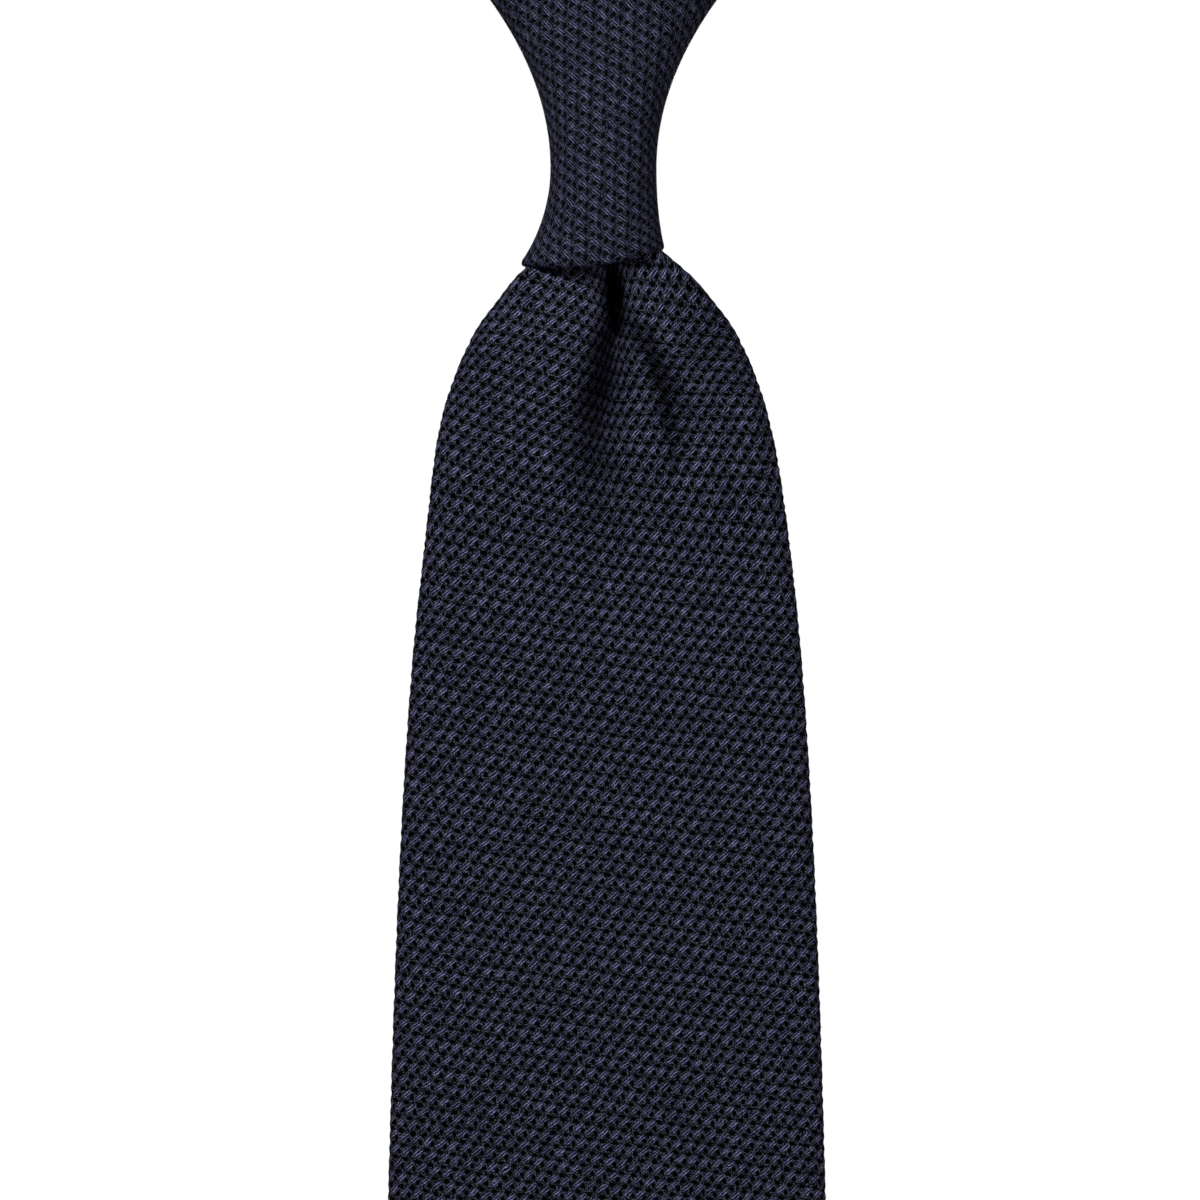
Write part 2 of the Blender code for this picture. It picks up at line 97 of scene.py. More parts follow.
BLADE_FRONT_Y = blade_low[1]
BLADE_THICKNESS = blade_high[1] - blade_low[1]
BLADE_CORNER_HALF_WIDTH = blade_high[0]
BLADE_TIP_DEPTH = KNOT_FOOT - blade_low[2]
BLADE_CORNER_DEPTH = BLADE_TIP_DEPTH - BLADE_CORNER_HALF_WIDTH
BLADE_VENT_HEIGHT = 100.0
BLADE_HEM = 9.0
BLADE_TOP_HALF_WIDTH = 35.0
BLADE_CLOTH_TOP_HALF_WIDTH = 32.4
BLADE_START_DEPTH = -8
BLADE_FOLDS_END_DEPTH = 56
BLADE_SLIT = 0.2

TAIL_FRONT_Y = tail_low[1]
TAIL_THICKNESS = tail_high[1] - tail_low[1]
TAIL_CORNER_HALF_WIDTH = tail_high[0]
TAIL_TIP_DEPTH = KNOT_FOOT - tail_low[2]
TAIL_CORNER_DEPTH = TAIL_TIP_DEPTH - TAIL_CORNER_HALF_WIDTH
TAIL_SPLIT_DEPTH = KNOT_FOOT - tail_high[2]
TAIL_VENT_HEIGHT = 50.0
TAIL_HEM = 6.0
TAIL_SLIT = 0.14
TAIL_CASING_THICKNESS = TAIL_THICKNESS * 0.93
TAIL_FACE_Y = TAIL_FRONT_Y + 0.1

LOOP_HALF_WIDTH = 60.0
LOOP_HALF_DEPTH = 65.0
LOOP_DROP = 34.0
BAND_HEIGHT = 34.0
BAND_THICKNESS = 3.6
BAND_END_ANGLE = math.radians(112)
BAND_FILL = 0.92
BAND_SLIT = 0.12

SILK_THICKNESS = 0.45
ROW_STEP = 1.05

# One repeat of the gauze weave, in millimetres across and up the cloth
WEAVE_STEP_ACROSS = (2.12, -0.37)
WEAVE_STEP_UP = (-0.52, 2.51)
WEAVE_CELL = WEAVE_STEP_ACROSS[0] * WEAVE_STEP_UP[1] - WEAVE_STEP_ACROSS[1] * WEAVE_STEP_UP[0]


# Small helpers ----------------------------------------------------------------------------------


def mix(a, b, t):
    return a * (1 - t) + b * t


def smooth(t):
    t = np.clip(t, 0.0, 1.0)
    return t * t * (3 - 2 * t)


def unit(vectors):
    return vectors / np.linalg.norm(vectors, axis=-1, keepdims=True)


def hump(value, middle, reach):
    return np.exp(-(((value - middle) / reach) ** 2))


def fade(depth, stations):
    """A measure given at a few depths, smooth between them."""
    depths, values = zip(*stations)
    place = np.interp(depth, depths, np.arange(len(depths)))
    step = min(int(place), len(depths) - 2)
    return mix(values[step], values[step + 1], float(smooth(place - step)))


def squarish(wave, exponent=0.82):
    """A sine or cosine made squarer, for a round shape pressed flatter at its sides."""
    return np.sign(wave) * np.abs(wave) ** exponent


def finish_mesh(name, vertices, faces, uvs=None, painted_shade=None):
    """A mesh object from millimetres, at the origin, with one UV for each vertex.

    The last argument gives each vertex its share of painted shade, from 0 to 1, kept as the 'fold'
    attribute.
    """
    mesh = bpy.data.meshes.new(name)
    mesh.from_pydata([tuple(v) for v in np.asarray(vertices) * MM], [], faces)
    if uvs is not None:
        layer = mesh.uv_layers.new(name="cloth")
        corner_vertices = np.zeros(len(mesh.loops), np.int32)
        mesh.loops.foreach_get("vertex_index", corner_vertices)
        layer.data.foreach_set("uv", np.asarray(uvs, np.float32)[corner_vertices].ravel())
    # The 'fold' attribute holds painted shade, which darkens the silk's colour.
    if painted_shade is not None:
        layer = mesh.attributes.new("fold", "FLOAT", "POINT")
        layer.data.foreach_set("value", np.asarray(painted_shade, np.float32).ravel())
    mesh.update()
    obj = bpy.data.objects.new(name, mesh)
    bpy.context.scene.collection.objects.link(obj)
    for face in mesh.polygons:
        face.use_smooth = True
    return obj


def apply_modifier(obj, kind, **settings):
    modifier = obj.modifiers.new(kind.lower(), kind)
    for key, value in settings.items():
        setattr(modifier, key, value)
    bpy.context.view_layer.objects.active = obj
    obj.select_set(True)
    bpy.ops.object.modifier_apply(modifier=modifier.name)
    obj.select_set(False)


def ring_walls(rows, columns):
    """The numbers of the points in a stack of closed rings, and the faces between the rings."""
    index = np.arange(rows * columns).reshape(rows, columns)
    wrapped = np.concatenate([index, index[:, :1]], axis=1)
    corners = (wrapped[1:, :-1], wrapped[1:, 1:], wrapped[:-1, 1:], wrapped[:-1, :-1])
    return index, np.stack(corners, axis=-1).reshape(-1, 4).tolist()


def cloth_grid(name, points, uvs, facing, thickness=SILK_THICKNESS, painted_shade=None):
    """Cloth from rows of points. Its middle is turned to facing and thickened away from it."""
    rows, columns = points.shape[:2]
    middle = (rows // 2, columns // 2)
    along = points[middle[0] + 1, middle[1]] - points[middle]
    across = points[middle[0], middle[1] + 1] - points[middle]
    faces_that_way = np.cross(across, along) @ np.asarray(facing, float) > 0
    index = np.arange(rows * columns).reshape(rows, columns)
    corners = (index[:-1, :-1], index[:-1, 1:], index[1:, 1:], index[1:, :-1])
    faces = np.stack(corners if faces_that_way else corners[::-1], axis=-1).reshape(-1, 4)
    obj = finish_mesh(name, points.reshape(-1, 3), faces.tolist(), uvs.reshape(-1, 2), painted_shade)
    if thickness:
        apply_modifier(obj, "SOLIDIFY", thickness=thickness * MM, offset=-1.0, use_rim=True)
    return obj


# Materials --------------------------------------------------------------------------------------


class Recipe:
    """Builds one material's nodes, left to right."""

    def __init__(self, name):
        self.material = bpy.data.materials.new(name)
        self.material.use_nodes = True
        self.tree = self.material.node_tree
        self.shader = self.tree.nodes["Principled BSDF"]

    def node(self, kind, **settings):
        made = self.tree.nodes.new(kind)
        for key, value in settings.items():
            setattr(made, key, value)
        return made

    def feed(self, socket, value):
        if isinstance(value, bpy.types.NodeSocket):
            self.tree.links.new(value, socket)
        else:
            socket.default_value = value

    def math(self, operation, *values, clamp=False):
        made = self.node("ShaderNodeMath", operation=operation, use_clamp=clamp)
        for socket, value in zip(made.inputs, values):
            self.feed(socket, value)
        return made.outputs[0]

    def dot(self, vector, direction):
        made = self.node("ShaderNodeVectorMath", operation="DOT_PRODUCT")
        self.feed(made.inputs[0], vector)
        made.inputs[1].default_value = direction
        return made.outputs["Value"]

    def combine(self, x, y):
        made = self.node("ShaderNodeCombineXYZ")
        self.feed(made.inputs["X"], x)
        self.feed(made.inputs["Y"], y)
        return made.outputs[0]

    def add_vectors(self, first, second):
        made = self.node("ShaderNodeVectorMath", operation="ADD")
        self.feed(made.inputs[0], first)
        self.feed(made.inputs[1], second)
        return made.outputs[0]

    def noise(self, vector, scale, detail=2.0, roughness=0.5):
        made = self.node("ShaderNodeTexNoise")
        self.feed(made.inputs["Vector"], vector)
        made.inputs["Scale"].default_value = scale
        made.inputs["Detail"].default_value = detail
        made.inputs["Roughness"].default_value = roughness
        return made

    def ramp(self, value, low, high, to_low=0.0, to_high=1.0):
        made = self.node("ShaderNodeMapRange", interpolation_type="SMOOTHSTEP")
        self.feed(made.inputs["Value"], value)
        made.inputs["From Min"].default_value = low
        made.inputs["From Max"].default_value = high
        made.inputs["To Min"].default_value = to_low
        made.inputs["To Max"].default_value = to_high
        return made.outputs["Result"]

    def mix_colours(self, share, first, second):
        made = self.node("ShaderNodeMix", data_type="RGBA")
        self.feed(made.inputs["Factor"], share)
        for socket, value in ((made.inputs[6], first), (made.inputs[7], second)):
            colour = (*value, 1.0) if isinstance(value, tuple) else value
            self.feed(socket, colour)
        return made.outputs[2]

    def scale_colour(self, colour, share):
        made = self.node("ShaderNodeVectorMath", operation="SCALE")
        self.feed(made.inputs[0], colour)
        self.feed(made.inputs["Scale"], share)
        return made.outputs[0]

    def bump(self, height, distance, strength=1.0):
        made = self.node("ShaderNodeBump")
        made.inputs["Strength"].default_value = strength
        made.inputs["Distance"].default_value = distance * MM
        self.feed(made.inputs["Height"], height)
        self.feed(self.shader.inputs["Normal"], made.outputs["Normal"])

    def cloth_place(self):
        """Millimetres across and up the cloth, from the piece's own UV map."""
        return self.node("ShaderNodeUVMap", uv_map="cloth").outputs["UV"]

    def solid_place(self, across, up):
        """Millimetres across and up, from where the piece stands."""
        place = self.node("ShaderNodeTexCoord").outputs["Object"]
        rows = [tuple(v / MM for v in axis) for axis in (across, up)]
        return self.combine(self.dot(place, rows[0]), self.dot(place, rows[1]))

    def ribs(self, place, axis, closeness):
        """Even ribs, counted along one axis."""
        return self.math("SINE", self.math("MULTIPLY", self.dot(place, axis), closeness))

    def settle(self, roughness, specular, sheen=0.0):
        self.feed(self.shader.inputs["Roughness"], roughness)
        self.shader.inputs["Specular IOR Level"].default_value = specular
        self.shader.inputs["Sheen Weight"].default_value = sheen

    def colour_by_height(self, height, low, high, dark, light):
        """From dark in the hollows to light on the ridges: painted shade in the hollows and painted
        light on the ridges, over the relief's uneven tone.
        """
        colour = self.mix_colours(self.ramp(height, low, high), dark, light)
        self.feed(self.shader.inputs["Base Color"], colour)


def weave_mark(recipe, steps, centre, half_length, half_width, lean_degrees, edge=(1.45, 0.55)):
    """A soft oval that repeats with the weave: 1 in its middle, 0 well outside it."""
    across, up = WEAVE_STEP_ACROSS, WEAVE_STEP_UP
    phase_across = (centre[0] * up[1] - centre[1] * up[0]) / WEAVE_CELL
    phase_up = (centre[1] * across[0] - centre[0] * across[1]) / WEAVE_CELL
    near = [
        recipe.math("WRAP", recipe.math("SUBTRACT", step, phase), 0.5, -0.5)
        for step, phase in zip(steps, (phase_across, phase_up))
    ]
    lean = math.radians(lean_degrees)
    along = (math.cos(lean) / half_length, math.sin(lean) / half_length)
    beside = (-math.sin(lean) / half_width, math.cos(lean) / half_width)
    place = recipe.combine(*near)
    rows = [
        (axis[0] * across[0] + axis[1] * across[1], axis[0] * up[0] + axis[1] * up[1], 0.0)
        for axis in (along, beside)
    ]
    offset = recipe.combine(recipe.dot(place, rows[0]), recipe.dot(place, rows[1]))
    length = recipe.node("ShaderNodeVectorMath", operation="LENGTH")
    recipe.feed(length.inputs[0], offset)
    return recipe.ramp(length.outputs["Value"], *edge)


def grenadine(name, hole_depth=1.0, brightness=1.0, evenness=0.0):
    """Navy silk in an open gauze weave: pairs of holes, and bundles of yarn that slant past them.

    hole_depth is how open the holes are, and evenness how far the bundles blend into the ground.
    """
    recipe = Recipe(name)
    flat_place = recipe.cloth_place()
    wander = recipe.noise(flat_place, 0.16, detail=1.0)
    jitter = recipe.noise(flat_place, 0.75, detail=1.0)
    place = flat_place
    for texture, reach in ((wander, 0.9), (jitter, 0.17)):
        centred = recipe.node("ShaderNodeVectorMath", operation="MULTIPLY_ADD")
        recipe.feed(centred.inputs[0], texture.outputs["Color"])
        centred.inputs[1].default_value = (reach, reach, 0.0)
        centred.inputs[2].default_value = (-reach / 2, -reach / 2, 0.0)
        place = recipe.add_vectors(place, centred.outputs[0])

    across, up = WEAVE_STEP_ACROSS, WEAVE_STEP_UP
    steps = (
        recipe.dot(place, (up[1] / WEAVE_CELL, -up[0] / WEAVE_CELL, 0.0)),
        recipe.dot(place, (-across[1] / WEAVE_CELL, across[0] / WEAVE_CELL, 0.0)),
    )
    rim = (1.28, 0.78)
    tall_hole = weave_mark(recipe, steps, (0.0, 0.0), 0.45, 0.35, 100, rim)
    wide_hole = weave_mark(recipe, steps, (-0.88, -0.95), 0.50, 0.35, -8, rim)
    bridge = weave_mark(recipe, steps, (-0.42, -0.45), 0.30, 0.15, 75)
    bundle = weave_mark(recipe, steps, (-0.70, 0.53), 0.88, 0.52, 38, (1.30, 0.60))
    bundle = recipe.math("MULTIPLY_ADD", bundle, 1 - 2 * evenness, evenness)
    upright = weave_mark(recipe, steps, (0.46, -0.05), 0.75, 0.17, 105)
    holes = recipe.math("MAXIMUM", tall_hole, wide_hole)
    holes = recipe.math("SUBTRACT", holes, recipe.math("MULTIPLY", bridge, 0.6), clamp=True)

    lean = math.radians(40)
    along = recipe.dot(place, (math.cos(lean), math.sin(lean), 0.0))
    beside = recipe.dot(place, (-math.sin(lean), math.cos(lean), 0.0))
    strand_place = recipe.combine(
        recipe.math("MULTIPLY", along, 1.2), recipe.math("MULTIPLY", beside, 3.8))
    strands = recipe.noise(strand_place, 1.0, detail=3.0, roughness=0.75).outputs["Fac"]
    phase = recipe.math("MULTIPLY_ADD", strands, 9.0, recipe.math("MULTIPLY", beside, 14.0))
    stripes = recipe.ramp(recipe.math("SINE", phase), -0.40, 0.95)
    # Fine specks along the strands: in the colour they are painted glints of the silk's lustre, and
    # they also lift the relief.
    fibre = recipe.ramp(recipe.noise(place, 5.0, detail=1.0).outputs["Fac"], 0.40, 0.64)
    stripes = recipe.math("MULTIPLY", stripes, recipe.math("MULTIPLY_ADD", fibre, 1.0, 0.28))
    mottle = recipe.noise(place, 3.2, detail=2.0, roughness=0.8).outputs["Fac"]
    mottle = recipe.ramp(mottle, 0.48, 0.68)
    yarn = recipe.ramp(recipe.noise(place, 0.35, detail=2.0).outputs["Fac"], 0.3, 0.7, 0.82, 1.15)

    lavender = (0.105, 0.104, 0.200)
    slate = (0.046, 0.050, 0.074)
    gap = (0.0004, 0.0003, 0.0003)
    # The bundles' colour: the lavender yarn's own tone, brightened along its strands by painted
    # lustre, as the shader's specular is kept very low.
    bundle_tone_and_painted_lustre = recipe.math("MULTIPLY_ADD", stripes, 2.4, 0.02)
    ground_light = recipe.math("MULTIPLY_ADD", mottle, 2.7, 0.03)
    ground_light = recipe.math("MULTIPLY_ADD", upright, 0.25, ground_light)
    silk = recipe.mix_colours(
        bundle,
        recipe.scale_colour(slate, ground_light),
        recipe.scale_colour(lavender, bundle_tone_and_painted_lustre),
    )
    silk = recipe.scale_colour(silk, recipe.math("MULTIPLY", yarn, brightness))
    # Painted shade: the 'fold' attribute darkens the colour, almost to black, in the dimple and on
    # the shoulders.
    fold = recipe.node("ShaderNodeAttribute", attribute_name="fold").outputs["Fac"]
    silk = recipe.scale_colour(silk, recipe.math("MULTIPLY_ADD", fold, -0.97, 1.0))
    open_share = recipe.math("MULTIPLY", holes, hole_depth)
    recipe.feed(recipe.shader.inputs["Base Color"], recipe.mix_colours(open_share, silk, gap))

    height = recipe.math("MULTIPLY_ADD", stripes, 0.20, recipe.math("MULTIPLY", bundle, 0.40))
    height = recipe.math("MULTIPLY_ADD", mottle, 0.15, height)
    height = recipe.math("SUBTRACT", height, recipe.math("MULTIPLY", holes, hole_depth))
    recipe.bump(height, 0.22, 0.7)
    roughness = recipe.math("MULTIPLY_ADD", mottle, -0.14, 0.62)
    recipe.settle(roughness, specular=0.012)
    return recipe.material


def brushed_wool():
    """Undyed interlining, its weave blurred by its fuzz."""
    recipe = Recipe("brushed_wool")
    place = recipe.solid_place((1, 0, 0), (0, 0, 1))
    across = recipe.ribs(place, (1, 0, 0), 4.2)
    up = recipe.ribs(place, (0, 1, 0), 3.9)
    weave = recipe.math("MULTIPLY", across, up)
    fuzz = recipe.noise(place, 1.6, detail=5.0, roughness=0.7).outputs["Fac"]
    height = recipe.math("MULTIPLY_ADD", weave, 0.22, fuzz)
    recipe.colour_by_height(height, 0.2, 0.8, (0.36, 0.34, 0.29), (0.62, 0.60, 0.54))
    recipe.bump(height, 0.3, 0.8)
    recipe.settle(0.95, specular=0.15, sheen=0.25)
    return recipe.material


def tipping_silk():
    """The plain lining silk: very fine even threads with a soft lustre."""
    recipe = Recipe("tipping_silk")
    place = recipe.solid_place((1, 0, 0), (0, 0, 1))
    warp = recipe.ribs(place, (1, 0, 0), 21.0)
    weft = recipe.ribs(place, (0, 1, 0), 17.0)
    slub_place = recipe.combine(recipe.dot(place, (0.12, 0, 0)), recipe.dot(place, (0, 3.0, 0)))
    slubs = recipe.noise(slub_place, 1.0, detail=3.0).outputs["Fac"]
    height = recipe.math("MULTIPLY_ADD", recipe.math("MULTIPLY", warp, weft), 0.35, 0.5)
    height = recipe.math("MULTIPLY_ADD", slubs, 0.6, height)
    recipe.colour_by_height(height, 0.4, 1.2, (0.010, 0.011, 0.030), (0.024, 0.027, 0.062))
    recipe.bump(height, 0.05, 0.6)
    recipe.settle(0.36, specular=0.45, sheen=0.05)
    return recipe.material


def silk_thread():
    """Two-ply sewing thread, its twist drawn by slanting ridges."""
    recipe = Recipe("silk_thread")
    place = recipe.node("ShaderNodeTexCoord").outputs["Object"]
    slant = recipe.dot(place, (2600.0, 1500.0, 3100.0))
    ply = recipe.math("MULTIPLY_ADD", recipe.math("SINE", slant), 0.5, 0.5)
    fibre = recipe.noise(place, 2400.0, detail=2.0).outputs["Fac"]
    height = recipe.math("MULTIPLY_ADD", fibre, 0.4, ply)
    recipe.colour_by_height(height, 0.2, 1.2, (0.012, 0.012, 0.028), (0.042, 0.042, 0.080))
    recipe.bump(height, 0.08, 0.7)
    recipe.settle(0.5, specular=0.3)
    return recipe.material


def label_satin():
    """Blank woven satin: long floats across it, in a slightly lighter navy."""
    recipe = Recipe("label_satin")
    place = recipe.solid_place((1, 0, 0), (0, 0, 1))
    float_place = recipe.combine(recipe.dot(place, (0.8, 0, 0)), recipe.dot(place, (0, 7.0, 0)))
    floats = recipe.noise(float_place, 1.0, detail=2.0).outputs["Fac"]
    height = recipe.math("MULTIPLY_ADD", recipe.ribs(place, (0, 1, 0), 24.0), 0.25, floats)
    recipe.colour_by_height(height, 0.2, 0.8, (0.030, 0.032, 0.060), (0.062, 0.065, 0.105))
    recipe.bump(height, 0.06, 0.7)
    recipe.settle(0.34, specular=0.5, sheen=0.1)
    return recipe.material


open_weave = grenadine("grenadine_silk_open")
drawn_weave = grenadine(
    "grenadine_silk_drawn_tight", hole_depth=0.88, brightness=0.81, evenness=0.13)
wool = brushed_wool()
lining_silk = tipping_silk()
sewing_thread = silk_thread()
satin = label_satin()


def dress(piece, material):
    piece.data.materials.clear()
    piece.data.materials.append(material)


def stand_for(piece, node, body):
    """Shows this piece in place of a node of the frame, moving with that node's body."""
    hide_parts(node)
    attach(piece, body)


def face_outwards(piece):
    bpy.context.view_layer.objects.active = piece
    piece.select_set(True)
    bpy.ops.object.mode_set(mode="EDIT")
    bpy.ops.mesh.select_all(action="SELECT")
    bpy.ops.mesh.normals_make_consistent(inside=False)
    bpy.ops.object.mode_set(mode="OBJECT")
    piece.select_set(False)


# Folded casings ---------------------------------------------------------------------------------


def folded_section(front, around, thickness, flap_from, edge_steps, flap_steps):
    """A flattened casing round its front line: flap, rolled edge, front, rolled edge, flap.

    front is points from left to right and around how far across the cloth each is. A flap runs
    back from its rolled edge as far as flap_from, measured across the cloth.
    """
    tangents = unit(np.gradient(front, axis=0))
    inward = np.stack([-tangents[:, 1], tangents[:, 0]], axis=1)
    back = front + inward * thickness
    turns = np.linspace(0, math.pi, edge_steps + 2)[1:-1]
    order = np.arange(len(front))
    sides = []
    for end, direction in ((-1, 1), (0, -1)):
        middle = front[end] + inward[end] * thickness / 2
        edge = [
            middle
            - inward[end] * thickness / 2 * math.cos(turn)
            + tangents[end] * direction * thickness / 2 * math.sin(turn)
            for turn in turns
        ]
        reach = abs(around[end])
        flap_around = mix(reach, min(flap_from, reach), np.linspace(0, 1, flap_steps) ** 0.8)
        places = np.interp(flap_around * direction, around, order)
        flap = np.stack([np.interp(places, order, back[:, i]) for i in (0, 1)], axis=1)
        roll = thickness * math.pi / 2
        across = np.concatenate([reach + turns * thickness / 2, 2 * reach + roll - flap_around])
        sides.append((np.concatenate([edge, flap]), across * direction))
    (right, right_around), (left, left_around) = sides
    points = np.concatenate([left[::-1], front, right])
    return points, np.concatenate([left_around[::-1], around, right_around])


def spread(count):
    """Places from -1 to 1, closer together in the middle."""
    pinch = 0.38
    even = np.linspace(-1, 1, count)
    return even * (1 - pinch + pinch * even * even)


# The blade --------------------------------------------------------------------------------------


def blade_half_width(depth, side=1):
    """From the middle line to the blade's edge, a touch more to the right of it.

    The knot draws the straight taper in, a little as far down as the chest of the blade and much
    more just below its foot, and above the foot the blade narrows to pass inside it.
    """
    taper = mix(BLADE_TOP_HALF_WIDTH, BLADE_CORNER_HALF_WIDTH, depth / BLADE_CORNER_DEPTH)
    below = max(depth, 0.0)
    long_gather = 13.9 * math.exp(-below / 42)
    short_gather = 8.3 * math.exp(-below / 8.5)
    half = taper - long_gather - short_gather
    half += 0.45 * hump(depth, 27, 14) - 0.40 * hump(depth, 5.5, 4)
    half += 0.3 * side * float(smooth((depth - 25) / 20))
    foot_swell, narrowing = (0.20, 1.2) if side > 0 else (0.65, 2.2)
    half += foot_swell * hump(below, 0, 3.5)
    return max(half + narrowing * min(depth, 0.0), 6.5)


def blade_cloth_half_width(depth):
    """Half the width of the cloth in the front: it stays wide where the knot gathers the outline."""
    straight = BLADE_CLOTH_TOP_HALF_WIDTH + 0.02 * depth
    outline = blade_half_width(depth) + 0.3
    wide = (straight + outline + math.sqrt((straight - outline) ** 2 + 1.2)) / 2
    return min(wide, BLADE_CLOTH_TOP_HALF_WIDTH + 2.4 * depth) if depth < 0 else wide


def blade_relief(x, depth):
    """How far back the front lies across one section: the dimple, its side crease, the lobes."""
    d = max(depth, 0.0)
    slot = fade(d, ((0, 5.0), (6, 6.0), (9, 5.2), (15, 0.0)))
    slot_middle = fade(d, ((0, 1.0), (8, 1.9), (14, 2.3)))
    slot_reach = fade(d, ((0, 0.8), (5, 1.7), (9, 1.8), (14, 1.2)))
    valley = fade(d, ((0, 0.4), (7, 2.4), (15, 6.4), (24, 6.4), (34, 4.4), (48, 1.6), (80, 0.0)))
    valley_middle = fade(d, ((0, 1.0), (8, 1.9), (17, 1.5), (31, 0.0), (46, 1.0)))
    valley_reach = fade(d, ((0, 3.4), (14, 3.3), (26, 4.4), (60, 7.5)))
    crease = fade(d, ((7, 0.0), (13, 3.4), (24, 3.4), (42, 0.0)))
    crease_middle = 14.2 - 8.4 * math.exp(-(d - 11.6) / 10.5)
    crown = fade(d, ((0, 3.0), (14, 4.2), (30, 3.0), (60, 1.0), (110, 0.25)))
    lean = x / blade_half_width(depth)
    relief = slot * np.exp(-np.abs((x - slot_middle) / slot_reach) ** 2.6)
    relief = relief + valley * hump(x, valley_middle, valley_reach)
    relief = relief + crease * hump(x, crease_middle, 1.9)
    relief = relief + crown * np.abs(lean) ** 2.4
    return relief


def painted_fold_shade(x, depth):
    """Painted shade from 0 to 1, darkening the colour where the cloth is drawn into the dimple and
    on the shoulders.
    """
    d = max(depth, 0.0)
    slot = fade(d, ((0, 0.9), (2, 1.0), (11, 1.0), (14, 0.0)))
    slot_middle = fade(d, ((0, 1.0), (8, 1.9), (14, 2.3)))
    slot_reach = fade(d, ((0, 0.4), (3, 1.2), (6, 1.8), (9, 1.8), (14, 0.8)))
    valley = fade(d, ((7, 0.1), (13, 0.78), (20, 0.80), (31, 0.62), (40, 0.34), (56, 0.0)))
    valley_middle = fade(d, ((8, 1.0), (16.6, -0.2), (25, -1.4), (31, -1.8), (40, -0.3)))
    valley_reach = fade(d, ((8, 1.9), (16, 3.1), (25, 4.1), (40, 5.2)))
    crease = fade(d, ((8, 0.0), (12, 0.72), (22, 0.80), (27, 0.62), (38, 0.0)))
    crease_middle = 13.4 - 8.4 * math.exp(-(d - 11.6) / 10.5)
    share = slot * np.exp(-np.abs((x - slot_middle) / slot_reach) ** 3)
    share = np.maximum(share, valley * hump(x, valley_middle, valley_reach))
    share = np.maximum(share, crease * hump(x, crease_middle, 2.2))
    # Painted shade on the right shoulder and, fainter, on the left flank.
    share = share + 0.36 * hump(x, 18, 5) * hump(d, 10, 9) + 0.14 * hump(x, -22, 5) * hump(d, 18, 9)
    return np.clip(share, 0, 1)


def blade_cloth_place(x, depth):
    """How far across the cloth a point of the front is: the dimple takes up some of the cloth."""
    taken = 6.0 * math.exp(-((max(depth, 0.0) / 30) ** 2))
    middle = fade(max(depth, 0.0), ((0, 1.0), (8, 1.6), (17, 0.4), (31, -1.0), (46, 0.0)))
    return x + taken * np.tanh((x - middle) / 2.6)


def blade_front_line(depth, places):
    """The front of one section: the cloth keeps its width, follows the relief, then rolls under."""
    thickness = blade_thickness(depth)
    cloth = blade_cloth_half_width(depth) - thickness / 2
    radius = fade(depth, ((0, 3.2), (20, 4.6), (60, 9.0)))
    halves = []
    for side in (-1, 1):
        outline = blade_half_width(depth, side)
        x = np.linspace(0, outline, 600)
        y = blade_relief(side * x, depth)
        arc = side * blade_cloth_place(side * x, depth)
        slope = np.arctan2(np.gradient(y), np.gradient(x))
        spare = np.maximum(cloth - arc, 0)
        turn = np.minimum(spare / radius, math.pi)
        top = np.minimum(slope + turn, math.pi / 2)
        gain = radius * (np.sin(top) - np.sin(slope))
        ended = (1 - np.sin(top)) * thickness / 2
        roll_start = int(np.argmin(np.abs(x + gain + ended - outline)))
        if arc[roll_start] > cloth:
            roll_start = int(np.searchsorted(arc, cloth))
        first, angle = np.array([x[roll_start], y[roll_start]]), slope[roll_start]
        left_over = max(cloth - arc[roll_start], 0.0)
        rolled = min(left_over, radius * (math.pi - angle))
        along = np.linspace(0, left_over, 200)
        bent = angle + np.minimum(along, rolled) / radius
        step = left_over / 199
        rx = first[0] + np.cumsum(np.cos(bent)) * step
        ry = first[1] + np.cumsum(np.sin(bent)) * step
        full = (
            np.concatenate([x[:roll_start], rx]),
            np.concatenate([y[:roll_start], ry]),
            np.concatenate([arc[:roll_start], arc[roll_start] + along]),
        )
        halves.append(full)
    across = cloth * places
    left, right = halves
    x = np.concatenate([-left[0][:0:-1], right[0]])
    y = np.concatenate([left[1][:0:-1], right[1]])
    arc = np.concatenate([-left[2][:0:-1], right[2]])
    return np.stack([np.interp(across, arc, x), np.interp(across, arc, y)], axis=1), across


def blade_thickness(depth):
    return mix(2.2, BLADE_THICKNESS, float(smooth((depth + 2) / 70)))


def crest_y(depth):
    """How far forward the blade's fullest part stands."""
    return fade(depth, (
        (-8, -152.2), (0, -153.4), (14, -156.0), (30, -154.9), (55, -152.3), (90, -150.3)))


def cloth_rise(points, uvs, centre):
    """How far up the cloth each front point is beside the middle, so the weave turns with it."""
    along = unit(np.gradient(points, axis=0)) * -1
    across = unit(np.gradient(points, axis=1))
    lean = (along * across).sum(axis=2)
    step = np.diff(uvs[..., 0], axis=1)
    rise = np.zeros(points.shape[:2])
    rise[:, 1:] = np.cumsum((lean[:, 1:] + lean[:, :-1]) / 2 * step, axis=1)
    rise -= rise[:, centre:centre + 1]
    reach = 18
    kernel = np.exp(-0.5 * (np.arange(-reach, reach + 1) / 8.0) ** 2)
    kernel /= kernel.sum()
    padded = np.concatenate([rise[:1].repeat(reach, 0), rise, rise[-1:].repeat(reach, 0)])
    return np.stack(
        [np.convolve(column, kernel, mode="valid") for column in padded.T], axis=1)


